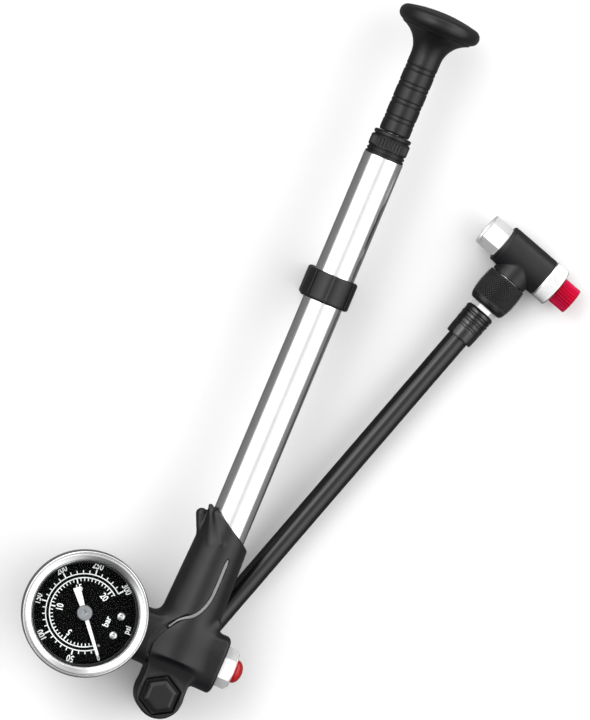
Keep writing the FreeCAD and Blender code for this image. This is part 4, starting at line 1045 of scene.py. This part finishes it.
def make_chuck():
    """Hexagonal chuck nut with a threaded mouth."""
    mouth = 15.7

    def cone(height):
        return 5.36 - 0.8 * np.maximum(height - (mouth - 0.25), 0)

    flats = hexagon(9.2, 9.12, mouth - 0.01, cone)

    def shape(angle, radius, height):
        thread = 0.24 * (0.5 + 0.5 * np.cos(angle - TAU * height / 0.8))
        inner = (radius < 4.1) & (height > 4.2) & (height < mouth - 0.5)
        return np.where(inner, radius - thread, flats(angle, radius, height))

    turned("chuck_nut", HEAD, [
        (3.95, 3.62), (4.83, 3.62, 0.1), (4.83, 9.1), (5.35, 9.1, 0.1), (5.35, mouth, 0.05),
        (4.05, mouth, 0.1), (3.95, mouth - 0.3, 0.1),
    ], shape=shape, step=0.12, around=240, closed=True, smooth=28)


def make_collar_and_knob():
    """The bright collar with fine ribs, and the red knob with coarse ones and a dished end."""
    turned("head_collar", HEAD, [
        (1.9, -4.0), (4.75, -4.0), (4.75, -8.22), (6.45, -8.22, 0.1), (6.5, -8.4, 0.1), (6.5, -13.0, 0.1),
        (6.3, -13.2, 0.1), (4.75, -13.2, 0.1), (4.7, -10.9), (1.9, -10.9),
    ], shape=knurl(80, 0.2, -12.9, -8.6, 6.0, fade=0.2), step=0.25, around=640, closed=True, smooth=60)
    end, dish = -19.8, -19.55
    turned("pin_knob", HEAD, [
        (0, end), (1.2, end, 0.1), (1.35, dish, 0.1), (3.3, dish, 0.1), (3.5, end, 0.1), (4.25, end, 0.1),
        (4.4, -19.62, 0.1), (4.4, -14.0, 0.1), (4.25, -13.82, 0.1), (1.62, -13.8), (1.62, -16.8), (0, -16.8),
    ], shape=knurl(28, 0.62, -19.75, -13.85, 4.0, fade=0.15), step=0.25, around=480, smooth=60)


# --- hose clip


def make_clip():
    """Rounded collar on the barrel, with a foot for the folded hose, and its parting lines."""
    low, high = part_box("hose_clip")
    start, end = low.x / MM, high.x / MM
    hose_level = hose_height / MM
    jaw = 3.7

    def field(x, y, z):
        up = z - level
        collar = np.hypot(y, up) - 8.1
        foot = np.maximum(edge_round(span(y, -6.4, 6.9), -z, 3.0), up)
        form = edge_round(join(collar, foot, 1.2), span(x, start, end), 0.9)
        slot = np.hypot(y, z - hose_level) - jaw
        slot = join(slot, np.maximum(span(z, hose_level - jaw, hose_level + jaw), y))
        form = take_off(form, join(np.hypot(y, up) - 6.53, slot), 0.25)
        for line, wide in ((6.05, 0.24), (-6.1, 0.24), (0.4, 0.12)):
            seam = np.maximum(np.hypot(y - line, np.minimum(form + 0.1, 0)) - wide, 21 - z)
            form = take_off(form, seam, 0.12)
        return form + 0 * x

    moulded("hose_clip", field, (start - 0.5, -8.8, -0.4), (end + 0.5, 8.8, 29.8), 0.24)


def dress_frame():
    """Give every CAD node its slot's finish."""
    for node, thing in frame["nodes"].items():
        thing.data.materials.clear()
        thing.data.materials.append(finishes[slot_of[node]])


make_camera()
finishes = make_finishes()
hose = make_hose()
make_world()
make_lamp("key", (0.45, 0.55, 1.1), 0.7, 2.0)
make_floor()
dress_frame()
make_barrel()
make_end_cap()
make_grip()
make_manifold()
make_cover()
make_stripe()
make_bolt()
make_bleed_valve()
make_gauge_case()
make_dial()
make_dial_furniture()
make_fittings()
make_head()
make_chuck()
make_collar_and_knob()
make_clip()

bpy.context.scene.view_settings.view_transform = "Standard"
